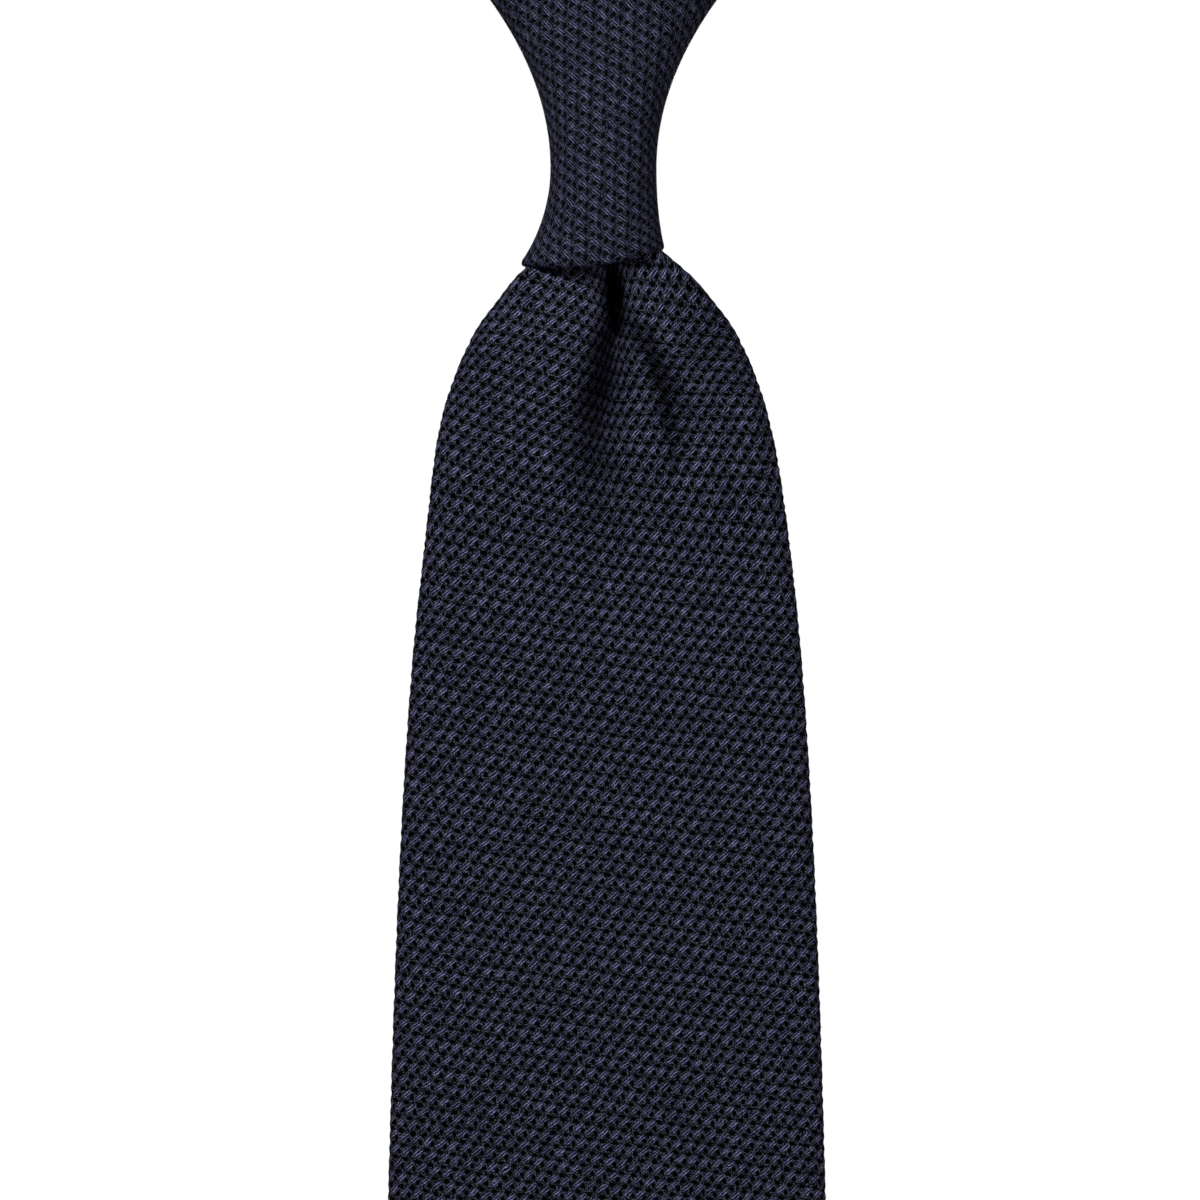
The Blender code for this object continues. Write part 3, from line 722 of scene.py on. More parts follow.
def make_blade():
    front_count, edge_steps, flap_steps = 73, 4, 12
    places = spread(front_count)
    vent_apex = BLADE_TIP_DEPTH - BLADE_VENT_HEIGHT
    depths = list(np.arange(BLADE_START_DEPTH, BLADE_FOLDS_END_DEPTH, 0.8))
    depths += list(np.arange(BLADE_FOLDS_END_DEPTH, BLADE_CORNER_DEPTH - 0.2, ROW_STEP))
    depths += list(np.linspace(BLADE_CORNER_DEPTH, BLADE_TIP_DEPTH - 0.3, 42))
    points, uvs, painted_shade = [], [], []
    for row, depth in enumerate(depths):
        half = blade_half_width(depth)
        thickness = blade_thickness(depth)
        if depth < BLADE_CORNER_DEPTH:
            line, across = blade_front_line(depth, places)
        else:
            half = BLADE_TIP_DEPTH - depth
            thickness = min(thickness, 1.2 * half + 0.3)
            across = max(half - thickness / 2, 0.05) * places
            line = np.stack([across, np.zeros(front_count)], axis=1)
        if depth < vent_apex:
            flap_from = BLADE_SLIT
        elif depth < BLADE_CORNER_DEPTH:
            share = (depth - vent_apex) / BLADE_CORNER_HALF_WIDTH
            open_width = BLADE_CORNER_HALF_WIDTH - BLADE_HEM
            flap_from = mix(BLADE_SLIT, open_width, min(share / 1.353, 1.0))
        else:
            flap_from = max(half - BLADE_HEM * math.sqrt(2), 0.4)
        line[:, 1] += crest_y(depth)
        # Painted shade for the row's front points, in the dimple and on the shoulders.
        row_painted_shade = np.zeros(front_count + 2 * (edge_steps + flap_steps))
        row_painted_shade[edge_steps + flap_steps:][:front_count] = painted_fold_shade(line[:, 0], depth)
        painted_shade.append(row_painted_shade)
        if row % 2:
            line[:, 0] *= 1 - (0.13 + 0.06 * math.sin(2.4 * row)) / max(half, 2.0)
        section, around = folded_section(
            line, across, thickness, flap_from, edge_steps, flap_steps)
        z = np.full(len(section), KNOT_FOOT - depth)
        points.append(np.column_stack([section, z]))
        uvs.append(np.column_stack([around, np.full(len(section), -depth)]))
    points, uvs = np.array(points), np.array(uvs)
    first = edge_steps + flap_steps
    front = slice(first, first + front_count)
    rise = cloth_rise(points[:, front], uvs[:, front], front_count // 2)
    uvs[:, front, 1] += rise
    uvs[:, :first, 1] += rise[:, :1]
    uvs[:, first + front_count:, 1] += rise[:, -1:]
    blade = cloth_grid("blade_silk", points, uvs, (0, -1, 0), painted_shade=painted_shade)
    dress(blade, open_weave)
    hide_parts("blade_casing")
    blend_at_knot(blade)


def blend_at_knot(piece):
    """Bakes the piece's placement into its mesh."""
    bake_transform(piece)


def make_blade_interlining():
    """Brushed wool, inside the blade from the knot to the tipping."""
    places = spread(61)
    depths = list(np.arange(-7, 60, 1.6)) + list(np.arange(60, BLADE_CORNER_DEPTH, 6.0))
    depths += list(np.linspace(BLADE_CORNER_DEPTH, BLADE_TIP_DEPTH - 8, 12))
    points = []
    for depth in depths:
        if depth < BLADE_CORNER_DEPTH:
            line, _ = blade_front_line(depth, places)
        else:
            half = BLADE_TIP_DEPTH - depth - 1.5
            line = np.stack([half * places, np.zeros(len(places))], axis=1)
        line[:, 1] += crest_y(depth)
        tangents = unit(np.gradient(line, axis=0))
        inward = np.stack([-tangents[:, 1], tangents[:, 0]], axis=1)
        # Behind the front wall, and short of the back of the casing
        spare = blade_thickness(depth)
        wall = min(0.9, spare * 0.32)
        front = (line + inward * wall)[1:-1]
        back = (line + inward * (spare - wall) * 0.62)[1:-1]
        ring = np.concatenate([front, back[::-1]])
        points.append(np.column_stack([ring, np.full(len(ring), KNOT_FOOT - depth)]))
    points = np.array(points)
    index, faces = ring_walls(*points.shape[:2])
    for row, turned in ((0, False), (len(points) - 1, True)):
        for i in range(points.shape[1] // 2 - 1):
            cap = [index[row, i], index[row, i + 1], index[row, -2 - i], index[row, -1 - i]]
            faces.append(cap[::-1] if turned else cap)
    piece = finish_mesh("blade_wool", points.reshape(-1, 3), faces)
    dress(piece, wool)
    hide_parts("blade_interlining")
    blend_at_knot(piece)


# The knot ---------------------------------------------------------------------------------------


def knot_half_width(height, foot_flare):
    above = height - KNOT_WAIST_HEIGHT
    if above > 0:
        return KNOT_WAIST_HALF_WIDTH + KNOT_TOP_FLARE * (above / 34) ** 2
    return KNOT_WAIST_HALF_WIDTH + foot_flare * (above / KNOT_WAIST_HEIGHT) ** 2


def wrap_plan(height, inset, first_angle, last_angle, count):
    """A pass round the knot, seen from above: evenly spaced points and how far round each is."""
    angles = np.linspace(first_angle, last_angle, 1201)
    right = knot_half_width(height, KNOT_FOOT_FLARE_RIGHT) - inset
    left = knot_half_width(height, KNOT_FOOT_FLARE_LEFT) - inset
    sines, cosines = np.sin(angles), np.cos(angles)
    x = squarish(sines) * np.where(sines > 0, right, left) + KNOT_LEAN
    y = KNOT_Y - squarish(cosines) * (KNOT_HALF_DEPTH - inset)
    run = np.concatenate([[0.0], np.cumsum(np.hypot(np.diff(x), np.diff(y)))])
    even = np.linspace(0, run[-1], count)
    middle = np.interp((first_angle + last_angle) / 2, angles, run)
    return np.interp(even, run, x), np.interp(even, run, y), even - middle


def foot_slant(x, height):
    """The wrap's lower edge runs up to the right."""
    return (0.0132 * x * x + 0.167 * x - 0.27) * max(1 - height / 20, 0.0) ** 2


def rolled_profile(bottom, top):
    """(height, inset) from inside the lower edge, round it, up the face and round the upper edge."""
    radius, lip = KNOT_EDGE_RADIUS, KNOT_EDGE_LIP
    turns = np.linspace(0, math.pi, 7)
    profile = [(bottom + radius + lip * t, 2 * radius) for t in (1.0, 0.5)]
    profile += [
        (bottom + radius - radius * math.sin(t), radius + radius * math.cos(t)) for t in turns
    ]
    face = np.linspace(bottom + radius, top - radius, KNOT_FACE_ROWS)
    profile += [(height, 0.0) for height in face[1:-1]]
    profile += [
        (top - radius + radius * math.sin(t), radius - radius * math.cos(t)) for t in turns
    ]
    profile += [(top - radius - lip * t, 2 * radius) for t in (0.5, 1.0)]
    return profile


def make_wrap(name, node, bottom, top, inset, angles, facing):
    """One pass round the knot, the length of its cloth eight degrees off the way round."""
    travelled = 0.0
    points, uvs = [], []
    previous = None
    for height, depth in rolled_profile(bottom, top):
        x, y, around = wrap_plan(height, inset + depth, *angles, KNOT_COLUMNS)
        z = KNOT_FOOT + height + foot_slant(x, height)
        if previous is not None:
            travelled += math.hypot(height - previous[0], depth - previous[1])
        previous = (height, depth)
        points.append(np.column_stack([x, y, z]))
        uvs.append(np.column_stack([
            0.139 * around - 0.990 * travelled, 0.990 * around + 0.139 * travelled]))
    points, uvs = np.array(points), np.array(uvs)
    wrap = cloth_grid(name, points, uvs, facing, thickness=0.6)
    dress(wrap, drawn_weave)
    stand_for(wrap, node, "knot")


def make_knot():
    front_angles = (math.radians(-150), math.radians(150))
    make_wrap(
        "knot_silk", "knot_front_wrap", 0.0, KNOT_HEIGHT, 0.0, front_angles, (0, -1, 0))
    rear_angles = (math.radians(112), math.radians(248))
    make_wrap(
        "knot_rear_silk", "knot_rear_wrap", 1.5, 45.0, 2.2, rear_angles, (0, 1, 0))


# Neck loop --------------------------------------------------------------------------------------


def loop_point(angle, outward):
    """A point of the neck loop, so far outwards from the band's inner wall."""
    return np.array([
        (LOOP_HALF_WIDTH + outward) * math.sin(angle),
        -LOOP_HALF_DEPTH + (LOOP_HALF_DEPTH + outward) * math.cos(angle),
        -LOOP_DROP * (1 - math.cos(angle)) / 2,
    ])


def loop_stations():
    """Centre, across axis, facing axis, half sizes and bunching, from the neck into the knot.

    The front of the folded cloth lies on the facing side, which is the inside of the loop, and
    its seam on the outside.
    """
    stations = []
    half_thickness = BAND_THICKNESS / 2
    up = np.array([0.0, 0.0, 1.0])
    arc_steps = 118
    for i in range(arc_steps + 1):
        angle = BAND_END_ANGLE * i / arc_steps
        centre = loop_point(angle, half_thickness)
        ahead = loop_point(angle + 0.01, half_thickness) - loop_point(angle - 0.01, half_thickness)
        along = ahead / np.linalg.norm(ahead)
        facing = np.cross(along, up)
        facing /= np.linalg.norm(facing)
        across = np.cross(facing, along)
        stations.append((centre, across, facing, BAND_HEIGHT / 2, half_thickness, 0.0))
    start = stations[-1][0]
    ahead = loop_point(BAND_END_ANGLE + 0.01, half_thickness)
    heading = (ahead - start) / np.linalg.norm(ahead - start)
    end = np.array([6.4, -142.5, KNOT_TOP - 12])
    end_heading = np.array([-0.36, -0.05, -0.93])
    end_heading /= np.linalg.norm(end_heading)
    bends = (start, start + heading * 40, end - end_heading * 36, end)
    towards_middle = np.array([-1.0, 0.0, 0.0])
    steps = 78
    for i in range(1, steps + 1):
        t = i / steps
        one, two, three = (mix(bends[k], bends[k + 1], t) for k in range(3))
        centre = mix(mix(one, two, t), mix(two, three, t), t)
        along = mix(two, three, t) - mix(one, two, t)
        along /= np.linalg.norm(along)
        across = mix(up, towards_middle, float(smooth(t)))
        across = across - along * (across @ along)
        across /= np.linalg.norm(across)
        facing = np.cross(along, across)
        half_width = mix(BAND_HEIGHT / 2, 4.2, t)
        stations.append((centre, across, facing, half_width, mix(half_thickness, 3.0, t ** 3), t))
    return stations


def pleated_line(places, half_width, depth, pleats):
    """A front line that bunches into soft pleats."""
    x = places * half_width
    y = depth * (0.5 - 0.5 * np.cos(places * math.pi * pleats))
    return np.stack([x, y], axis=1)


def make_neck_loop():
    front_count, edge_steps, flap_steps = 31, 5, 12
    places = np.linspace(-1, 1, front_count)
    cloth = places * (BAND_HEIGHT / 2 - 1)
    crown = 0.5 * (1 - places ** 2)
    right = loop_stations()
    mirror = np.array([-1.0, 1.0, 1.0])
    # On both sides across points up at the neck, and facing points into the loop
    left = [(c * mirror, a * mirror, f * mirror, w, t, s) for c, a, f, w, t, s in right[:0:-1]]
    points, uvs = [], []
    travelled, previous = 0.0, None
    for row, (centre, across, facing, half_width, half_thickness, bunch) in enumerate(left + right):
        if previous is not None:
            travelled += float(np.linalg.norm(centre - previous))
        previous = centre
        pleat = 1.5 * half_thickness * float(smooth((bunch - 0.25) / 0.75)) * 0.55
        line = pleated_line(places, half_width - half_thickness * 0.6, pleat, 2.5)
        line[:, 1] -= crown
        if row % 2:
            line[:, 0] *= 1 - 0.12 / half_width
        section, around = folded_section(
            line, cloth, 2 * half_thickness * BAND_FILL, BAND_SLIT, edge_steps, flap_steps)
        spot = centre + facing * half_thickness * BAND_FILL
        points.append(spot + section[:, :1] * across - section[:, 1:] * facing)
        uvs.append(np.column_stack([around, np.full(len(section), travelled)]))
    points, uvs = np.array(points), np.array(uvs)
    loop = cloth_grid("neck_loop_silk", points, uvs, (0, 1, 0))
    dress(loop, open_weave)
    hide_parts("neck_casing", "left_loop_strand", "right_loop_strand")
    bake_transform(loop)


# The tail ---------------------------------------------------------------------------------------


def tail_half_width(depth):
    taper = mix(16.5, TAIL_CORNER_HALF_WIDTH, depth / TAIL_CORNER_DEPTH)
    return taper - 6.5 * math.exp(-max(depth, 0.0) / 12)


def tail_sections(depths, front_count, edge_steps, flap_steps):
    places = np.linspace(-1, 1, front_count)
    vent_apex = TAIL_TIP_DEPTH - TAIL_VENT_HEIGHT
    points, uvs = [], []
    for row, depth in enumerate(depths):
        half = tail_half_width(depth) if depth < TAIL_CORNER_DEPTH else TAIL_TIP_DEPTH - depth
        half = max(half + 0.8 * min(depth, 0.0), 0.3)
        thickness = min(TAIL_CASING_THICKNESS, 1.2 * half + 0.3)
        width = max(half - thickness / 2, 0.05)
        gather = math.exp(-max(depth, 0.0) / 14)
        line = pleated_line(places, width, 0.9 * gather, 3.0)
        if depth < vent_apex:
            flap_from = TAIL_SLIT
        elif depth < TAIL_CORNER_DEPTH:
            share = (depth - vent_apex) / (TAIL_CORNER_DEPTH - vent_apex)
            flap_from = mix(TAIL_SLIT, TAIL_CORNER_HALF_WIDTH - TAIL_HEM, share)
        else:
            flap_from = max(half - TAIL_HEM * math.sqrt(2), 0.3)
        if row % 2:
            line[:, 0] *= 1 - 0.14 / max(half, 2.0)
        line[:, 1] += TAIL_FACE_Y
        section, around = folded_section(
            line, places * width, thickness, flap_from, edge_steps, flap_steps)
        points.append(np.column_stack([section, np.full(len(section), KNOT_FOOT - depth)]))
        uvs.append(np.column_stack([around, np.full(len(section), -depth)]))
    return np.array(points), np.array(uvs)


def make_tail_length(name, node, body, depths):
    points, uvs = tail_sections(depths, 25, 4, 9)
    length = cloth_grid(name, points, uvs, (0, -1, 0), thickness=0.4)
    dress(length, open_weave)
    stand_for(length, node, body)
    return length


def make_tail():
    depths = list(np.arange(TAIL_SPLIT_DEPTH, TAIL_CORNER_DEPTH - 0.2, ROW_STEP))
    depths += list(np.linspace(TAIL_CORNER_DEPTH, TAIL_TIP_DEPTH - 0.3, 20))
    make_tail_length("tail_silk", "tail_casing", "tail", depths)
    depths = np.arange(-4, TAIL_SPLIT_DEPTH - 0.2, ROW_STEP)
    upper = make_tail_length(
        "tail_upper_silk", "tail_upper_strand", "blade", depths)
    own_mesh(upper)


# Small pieces -----------------------------------------------------------------------------------


def flat_tube(path, across, half_widths, half_depths, around=44, pleat=0.0, pleats=3.0):
    """Rings of a flattened tube of cloth along a path; the first and last points of a ring meet."""
    path = np.asarray(path, float)
    across = np.broadcast_to(np.asarray(across, float), path.shape)
    along = unit(np.gradient(path, axis=0))
    outward = unit(np.cross(across, along))
    angles = np.linspace(0, 2 * math.pi, around + 1)
    wide, deep = squarish(np.cos(angles), 0.72), squarish(np.sin(angles), 0.55)
    fold = pleat * (0.5 - 0.5 * np.cos(wide * math.pi * pleats)) * np.clip(deep, 0, 1)
    half_widths = np.broadcast_to(half_widths, len(path))[:, None, None]
    half_depths = np.broadcast_to(half_depths, len(path))[:, None, None]
    x = half_widths * wide[None, :, None]
    y = half_depths * deep[None, :, None] - fold[None, :, None]
    points = path[:, None] + x * across[:, None] + y * outward[:, None]
    steps = np.linalg.norm(np.diff(points[len(path) // 2], axis=0), axis=1)
    travelled = np.concatenate([[0], np.cumsum(np.linalg.norm(np.diff(path, axis=0), axis=1))])
    u = np.broadcast_to(np.concatenate([[0], np.cumsum(steps)]), points.shape[:2])
    v = np.broadcast_to(travelled[:, None], points.shape[:2])
    return points, np.stack([u, v], axis=-1)


def turn_ends_in(points, uvs, depth):
    """Adds a row at each end that goes back inside, as a raw edge turned in."""
    rows, cloth = [], []
    for end, inside in ((0, 1), (-1, -2)):
        middle = points[end].mean(axis=0)
        heading = points[inside].mean(axis=0) - middle
        heading = heading / np.linalg.norm(heading) * depth
        rows.append(middle + (points[end] - middle) * 0.72 + heading)
        cloth.append(uvs[end] + (0, -depth if end == 0 else depth))
    return (
        np.concatenate([rows[:1], points, rows[1:]]),
        np.concatenate([cloth[:1], uvs, cloth[1:]]),
    )


def tube_of_cloth(name, points, uvs, thickness):
    """Rings of cloth joined where they meet, thickened inwards."""
    piece = cloth_grid(name, points, uvs, (0, 0, 0), thickness=0)
    apply_modifier(piece, "WELD", merge_threshold=0.004 * MM)
    face_outwards(piece)
    apply_modifier(piece, "SOLIDIFY", thickness=thickness * MM, offset=-1.0, use_rim=True)
    return piece


def wool_pad(name, node, body, path, across, half_widths, half_depths):
    """A strip of brushed wool, solid and closed at its ends."""
    points, _ = flat_tube(path, across, half_widths, half_depths, around=24)
    points = points[:, :-1]
    index, faces = ring_walls(*points.shape[:2])
    faces += [index[0].tolist(), index[-1, ::-1].tolist()]
    piece = finish_mesh(name, points.reshape(-1, 3), faces)
    face_outwards(piece)
    dress(piece, wool)
    stand_for(piece, node, body)


def thread_work(name, lines, radius, rejoins=False):
    """Lengths of round thread with domed ends, as one piece."""
    sides = 8
    vertices, faces = [], []
    for line in lines:
        line = np.asarray(line, float)
        count = len(line)
        if rejoins:
            along = unit(np.roll(line, -1, axis=0) - np.roll(line, 1, axis=0))
        else:
            along = unit(np.gradient(line, axis=0))
        helper = (0.0, 1.0, 0.0) if abs(along[0][1]) < 0.8 else (1.0, 0.0, 0.0)
        first = unit(np.cross(along, helper))
        second = np.cross(along, first)
        angles = np.linspace(0, 2 * math.pi, sides, endpoint=False)
        ring = (
            first[:, None] * np.cos(angles)[None, :, None]
            + second[:, None] * np.sin(angles)[None, :, None]
        )
        rings = line[:, None] + ring * radius
        if not rejoins:
            first_end = line[:1, None] + ring[:1] * radius * 0.6 - along[:1, None] * radius * 0.7
            last_end = line[-1:, None] + ring[-1:] * radius * 0.6 + along[-1:, None] * radius * 0.7
            rings = np.concatenate([first_end, rings, last_end])
            count += 2
        start = len(vertices)
        vertices.extend(rings.reshape(-1, 3).tolist())
        spans = count if rejoins else count - 1
        for row in range(spans):
            one, two = start + row * sides, start + (row + 1) % count * sides
            for k in range(sides):
                after = (k + 1) % sides
                faces.append((one + k, one + after, two + after, two + k))
        if not rejoins:
            faces.append([start + k for k in range(sides)][::-1])
            faces.append([start + (count - 1) * sides + k for k in range(sides)])
    piece = finish_mesh(name, vertices, faces)
    face_outwards(piece)
    dress(piece, sewing_thread)
    return piece


def satin_stitches(name, node, body, middle, reach, length, pitch, upright):
    """A row of close stitches side by side; upright ones run up the tie, the others across it."""
    lines = []
    for number, place in enumerate(np.arange(-reach, reach + 0.01, pitch)):
        uneven = 0.10 * math.sin(7.3 * number)
        ends = np.linspace(-length / 2 + uneven, length / 2 + uneven, 7)
        rise = 0.16 * (1 - (ends / ends[-1]) ** 2)
        line = np.zeros((len(ends), 3)) + middle
        line[:, 2 if upright else 0] += ends
        line[:, 0 if upright else 2] += place
        line[:, 1] += rise
        lines.append(line)
    stand_for(thread_work(name, lines, pitch * 0.42), node, body)


def blade_back_y(depth):
    """The blade's back wall at its middle."""
    line, _ = blade_front_line(depth, np.linspace(-1, 1, 61))
    return line[30, 1] + crest_y(depth) + blade_thickness(depth)


def zigzag(tops, back, pitch, half):
    """A ladder of small stitches down a seam, from depth tops[0] to tops[1]."""
    line = []
    for number, depth in enumerate(np.arange(tops[0], tops[1], pitch / 4)):
        side = math.sin(number * math.pi / 2)
        sunk = 0.36 * abs(math.cos(number * math.pi / 2))
        line.append((half * side, back(depth) - 0.02 - sunk, KNOT_FOOT - depth))
    return line


def make_keeper():
    """The strap that holds the tail, raised in its middle, and the tacks at its ends."""
    low_y, high_y = keeper_low[1] + 0.4, keeper_high[1] - 0.4
    x = np.linspace(keeper_low[0] + 0.2, keeper_high[0] - 0.2, 125)
    foot_x, rise_width, tack_x = 27.2, 6.4, 28.5
    raised = smooth((foot_x - np.abs(x)) / rise_width)
    y = low_y + (high_y - low_y) * raised + 0.25 * hump(x, 0, 14)
    z = (keeper_low[2] + keeper_high[2]) / 2 + 0.35 * np.sin(x / 9.0)
    path = np.stack([x, y, z], axis=1)
    half = (keeper_high[2] - keeper_low[2]) / 2 - 0.3
    widths = half - 0.22 * hump(np.abs(x), 24, 3.5)
    depths = 0.42 - 0.10 * hump(np.abs(x), tack_x, 1.6)
    points, uvs = flat_tube(path, (0, 0, 1), widths, depths)
    points, uvs = turn_ends_in(points, uvs, 1.2)
    strap = tube_of_cloth("keeper_strap_silk", points, uvs, 0.18)
    dress(strap, open_weave)
    stand_for(strap, "keeper_loop", "blade")
    for side, node in ((-1, "keeper_tack_left"), (1, "keeper_tack_right")):
        low, high = box_mm(node)
        middle = (low + high) / 2
        middle[0] = side * tack_x
        satin_stitches(
            node + "_stitches", node, "blade", middle, (high[2] - low[2]) / 2 - 0.3, 1.5, 0.62,
            upright=False)


def make_knot_rise():
    """The last pass of the tie: up inside the knot, over its top and down behind."""
    low, _ = box_mm("knot_rise")
    bend = math.radians(150) * np.linspace(0, 1, 44)
    radius, middle_y, turn_z = 5.5, -144.5, KNOT_TOP - 2
    path = [(0.0, middle_y - radius, z) for z in np.arange(low[2] + 0.3, turn_z, 0.9)]
    path += [
        (0.0, middle_y - radius * math.cos(t), turn_z + radius * math.sin(t)) for t in bend
    ]
    path = np.array(path)
    height = path[:, 2] - KNOT_FOOT
    straight = len(path) - len(bend)
    widths = np.array([min(knot_half_width(h, KNOT_FOOT_FLARE_RIGHT) - 2.6, 9.3) for h in height])
    widths[straight:] = np.linspace(widths[straight - 1], 3.4, len(bend))
    points, uvs = flat_tube(path, (1, 0, 0), widths, 1.45, around=72, pleat=0.8, pleats=3.0)
    points, uvs = turn_ends_in(points, uvs, 1.0)
    rise = tube_of_cloth("knot_rise_silk", points, uvs, 0.4)
    dress(rise, drawn_weave)
    stand_for(rise, "knot_rise", "knot")


def make_inner_passes():
    """The first cross and the tail, pressed flat inside the knot."""
    for name, node, upright in (
        ("knot_first_cross_silk", "knot_first_cross", False),
        ("knot_tail_core_silk", "knot_tail_core", True),
    ):
        low, high = box_mm(node)
        middle = (low + high) / 2
        steps = np.linspace(low[2] + 0.4, high[2] - 0.4, 34)
        path = np.stack([0 * steps + middle[0], 0 * steps + middle[1], steps], axis=1)
        widths = []
        for z in steps:
            wide = knot_half_width(z - KNOT_FOOT, KNOT_FOOT_FLARE_RIGHT)
            widths.append(min(wide - (2.9 if upright else 3.0), high[0]))
        depth = (high[1] - low[1]) / 2 * 0.96
        points, uvs = flat_tube(path, (1, 0, 0), widths, depth, pleat=0.3, pleats=2.0)
        points, uvs = turn_ends_in(points, uvs, 0.8)
        piece = tube_of_cloth(name, points, uvs, 0.3)
        dress(piece, drawn_weave)
        stand_for(piece, node, "knot")


def make_tipping(name, node, body, half_at, top, corner, tip, hem):
    """The lining silk inside a point, smooth, with a slight ease in it."""
    low, high = box_mm(node)
    y = (low[1] + high[1]) / 2
    depths = np.concatenate([np.arange(top, corner, 1.6), np.linspace(corner, tip - hem - 0.5, 34)])
    places = np.linspace(-1, 1, 49)
    points, uvs = [], []
    for depth in depths:
        half = half_at(depth) - hem if depth < corner else tip - depth - hem
        half = max(half, 0.35)
        x = half * places
        ease = 0.05 * np.sin(x * 0.35 + depth * 0.09) + 0.04 * np.sin(x * 0.8 - depth * 0.21)
        points.append(np.stack([x, y - 0.1 + ease, 0 * x + KNOT_FOOT - depth], axis=1))
        uvs.append(np.stack([x, 0 * x - depth], axis=1))
    points, uvs = np.array(points), np.array(uvs)
    sheet = cloth_grid(name, points, uvs, (0, 1, 0), thickness=0.2)
    dress(sheet, lining_silk)
    stand_for(sheet, node, body)


def make_label():
    """A blank woven label with its ends turned in, held by three stitches at each corner."""
    middle = (label_low + label_high) / 2
    x = np.linspace(label_low[0] + 0.1, label_high[0] - 0.1, 90)
    path = np.stack([x, 0 * x + middle[1] + 0.04 * np.sin(x / 5), 0 * x + middle[2]], axis=1)
    half = (label_high[2] - label_low[2]) / 2 - 0.1
    points, uvs = flat_tube(path, (0, 0, 1), half, 0.24, around=60)
    points, uvs = turn_ends_in(points, uvs, 2.0)
    label = tube_of_cloth("blank_woven_label", points, uvs, 0.12)
    dress(label, satin)
    stand_for(label, "blank_label", "blade")
    lines = []
    for side in (-1, 1):
        for end in (-1, 1):
            for step in (0.0, 0.9, 1.8):
                z = middle[2] + end * (half - 0.5 - step)
                x = side * (label_high[0] - 0.1)
                lines.append([
                    (x + side * reach, middle[1] + 0.34 - 0.2 * abs(reach + 0.2), z)
                    for reach in (0.5, 0.1, -0.3, -0.8)
                ])
    corners = thread_work("label_corner_stitches", lines, 0.13)
    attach(corners, "blade")


def make_stitching():
    """The seams' slip stitches, the end tacks and the loop of spare thread."""
    apex = BLADE_TIP_DEPTH - BLADE_VENT_HEIGHT
    seam = thread_work(
        "blade_seam_stitches", [zigzag((5, apex - 1), blade_back_y, 2.4, 0.42)], 0.15)
    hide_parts("blade_slip_stitch")
    blend_at_knot(seam)
    tail_apex = TAIL_TIP_DEPTH - TAIL_VENT_HEIGHT
    tail_back = TAIL_FACE_Y + TAIL_CASING_THICKNESS
    seam = thread_work(
        "tail_seam_stitches",
        [zigzag((TAIL_SPLIT_DEPTH + 1, tail_apex - 1), lambda depth: tail_back, 2.0, 0.36)], 0.14)
    stand_for(seam, "tail_slip_stitch", "tail")
    line = []
    for number, angle in enumerate(np.linspace(-1, 1, 461) * BAND_END_ANGLE * 0.99):
        spot = loop_point(abs(angle), 0.55)
        side = math.sin(number * math.pi / 2)
        line.append((math.copysign(spot[0], angle), spot[1], spot[2] + 0.4 * side))
    seam = thread_work("neck_seam_stitches", [line], 0.14)
    stand_for(seam, "neck_slip_stitch", "neckband")
    for body in ("blade", "tail"):
        node = body + "_bar_tack"
        low, high = box_mm(node)
        middle = (low + high) / 2 - (0, 0.05, 0)
        satin_stitches(
            body + "_end_tack", node, body, middle, (high[0] - low[0]) / 2 - 0.2,
            high[2] - low[2] + 0.3, 0.5, upright=True)
    low, high = box_mm("slack_thread_loop")
    angles = np.linspace(0, 2 * math.pi, 48, endpoint=False)
    middle = (low + high) / 2
    bulge = 0.6 + 0.4 * np.sin(angles / 2) ** 2
    loop = np.stack([
        middle[0] + 0.8 * np.sin(angles) * bulge + 0.15 * np.sin(2 * angles),
        middle[1] + 0.12 * np.cos(angles),
        middle[2] + (high[2] - low[2] - 0.5) / 2 * np.cos(angles),
    ], axis=1)
    slack = thread_work("slack_loop", [loop], 0.17, rejoins=True)
    stand_for(slack, "slack_thread_loop", "blade")


def make_pads():
    """The wool inside the tail and the neck band."""
    low, high = box_mm("tail_interlining")
    middle_y = (low[1] + high[1]) / 2
    corner = TAIL_CORNER_DEPTH
    end = KNOT_FOOT - low[2] - 0.3
    straight = np.arange(KNOT_FOOT - high[2] + 0.3, min(corner, end - 1), 8.0)
    depths = np.concatenate([straight, np.linspace(min(corner, end - 0.5), end, 8)])
    widths = [(tail_half_width(d) if d < corner else TAIL_TIP_DEPTH - d) - 2.0 for d in depths]
    path = [(0.0, middle_y, KNOT_FOOT - d) for d in depths]
    half_depth = (high[1] - low[1]) / 2 * 0.9
    wool_pad("tail_wool", "tail_interlining", "tail", path, (1, 0, 0), widths, half_depth)
    angles = np.linspace(-1, 1, 97) * (BAND_END_ANGLE - 0.01)
    path = []
    for angle in angles:
        spot = loop_point(abs(angle), BAND_THICKNESS / 2 * BAND_FILL)
        path.append((math.copysign(spot[0], angle), spot[1], spot[2]))
    half_width = BAND_HEIGHT / 2 - 2.2
    wool_pad("neck_wool", "neck_interlining", "neckband", path, (0, 0, 1), half_width, 0.62)


make_blade()
make_blade_interlining()
make_knot()
make_knot_rise()
make_inner_passes()
make_neck_loop()
make_tail()
make_tipping(
    "blade_lining", "blade_tipping", "blade", blade_half_width,
    BLADE_TIP_DEPTH - BLADE_VENT_HEIGHT - 4, BLADE_CORNER_DEPTH, BLADE_TIP_DEPTH, 2.4)
make_tipping(
    "tail_lining", "tail_tipping", "tail", tail_half_width,
    TAIL_TIP_DEPTH - TAIL_VENT_HEIGHT - 3, TAIL_CORNER_DEPTH, TAIL_TIP_DEPTH, 1.8)
make_keeper()
make_label()
make_stitching()
make_pads()


# Studio -----------------------------------------------------------------------------------------

LAMP_TARGET = (0, -0.15, -0.16)


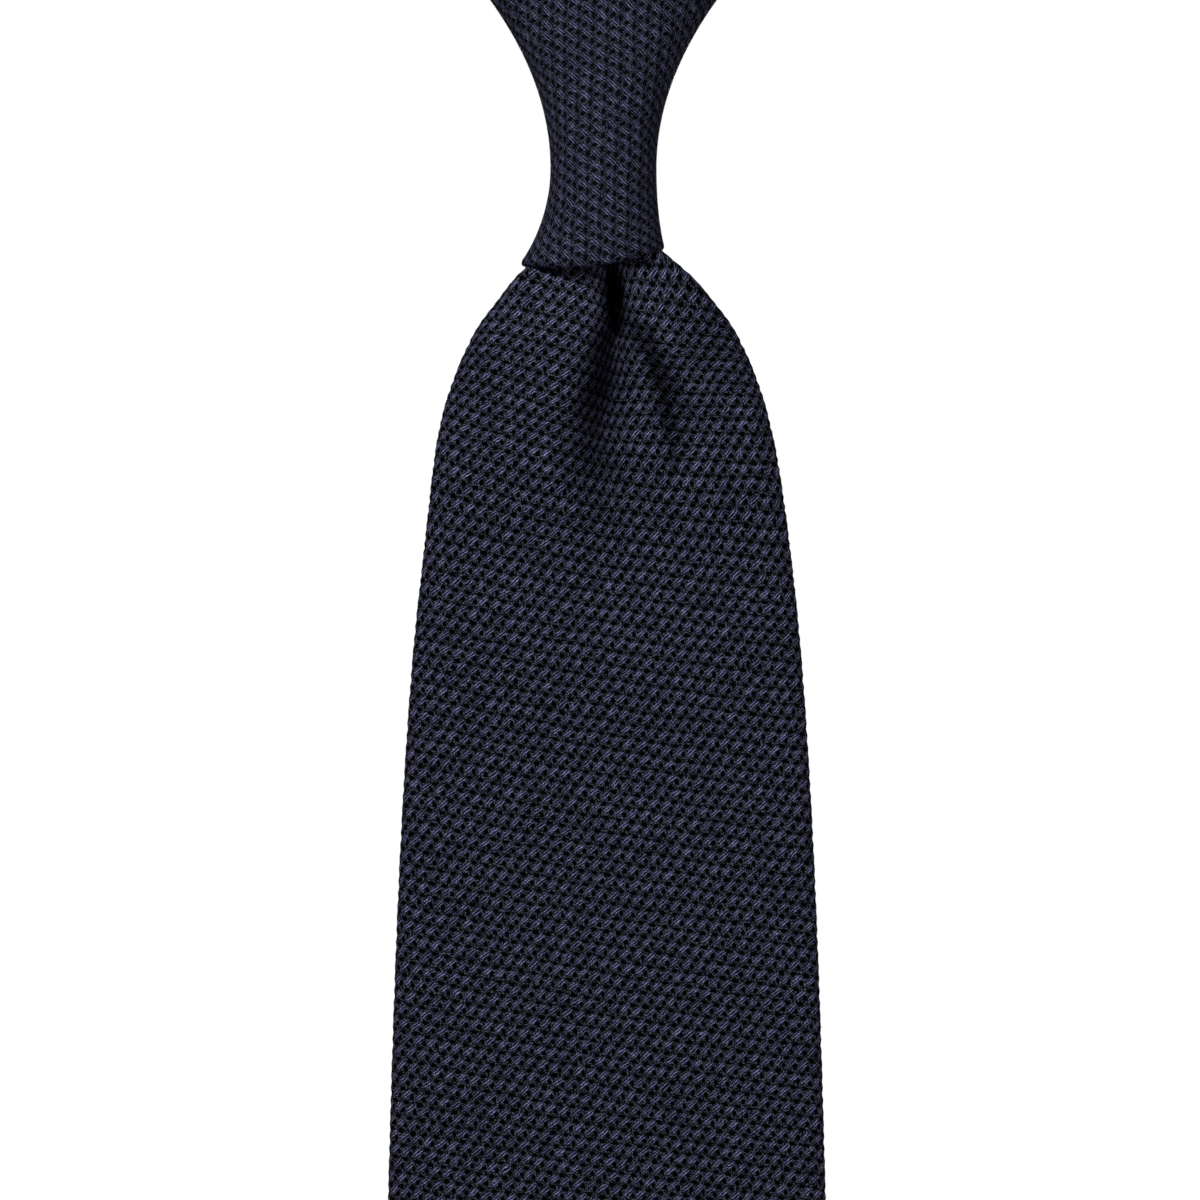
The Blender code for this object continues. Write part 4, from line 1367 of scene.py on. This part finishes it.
def make_world():
    """White all round; the tie itself is lit mostly by the lamps."""
    world = bpy.data.worlds.new("studio")
    bpy.context.scene.world = world
    world.use_nodes = True
    tree = world.node_tree
    backdrop = tree.nodes["Background"]
    backdrop.inputs["Color"].default_value = (1, 1, 1, 1)
    path = tree.nodes.new("ShaderNodeLightPath")
    strength = tree.nodes.new("ShaderNodeMapRange")
    strength.inputs["To Min"].default_value = 0.09
    strength.inputs["To Max"].default_value = 1.0
    tree.links.new(path.outputs["Is Camera Ray"], strength.inputs["Value"])
    tree.links.new(strength.outputs["Result"], backdrop.inputs["Strength"])
    bpy.context.scene.view_settings.view_transform = "Standard"


def make_floor():
    """Pale, and low enough for the blade's tip when the knot is drawn down."""
    bpy.ops.mesh.primitive_plane_add(size=1.6, location=(0, -0.1, (blade_low[2] - 60) * MM))
    floor = bpy.context.active_object
    floor.name = "studio_floor"
    pale = Recipe("pale_floor")
    pale.shader.inputs["Base Color"].default_value = (0.8, 0.8, 0.8, 1)
    pale.shader.inputs["Roughness"].default_value = 0.9
    floor.data.materials.append(pale.material)
    floor.select_set(False)


def make_lamps():
    """Softboxes: a key from the upper left, a weak fill from the right and one behind."""
    for name, place, size, power in (
        ("key_softbox", (-0.24, -0.70, 0.30), 0.18, 4.4),
        ("fill_softbox", (0.95, -1.05, 0.20), 0.50, 3.0),
        ("back_softbox", (0.0, 1.40, 0.05), 0.45, 15.0),
    ):
        data = bpy.data.lights.new(name, "AREA")
        data.size = size
        data.energy = power
        lamp = bpy.data.objects.new(name, data)
        lamp.location = place
        aim = Vector(LAMP_TARGET) - lamp.location
        lamp.rotation_euler = aim.to_track_quat("-Z", "Y").to_euler()
        bpy.context.scene.collection.objects.link(lamp)


def make_camera():
    """A long lens, level with the upper blade: 207 mm of the tie fills the frame."""
    seen_width = 0.207
    distance = 1.15
    data = bpy.data.cameras.new("camera")
    data.sensor_width = 36
    data.lens = 36 * distance / seen_width
    camera = bpy.data.objects.new("camera", data)
    camera.location = (-0.9 * MM, BLADE_FRONT_Y * MM - distance, (KNOT_FOOT - 57.8) * MM)
    camera.rotation_euler = (math.pi / 2, 0, 0)
    bpy.context.scene.collection.objects.link(camera)
    bpy.context.scene.camera = camera


make_world()
make_floor()
make_lamps()
make_camera()
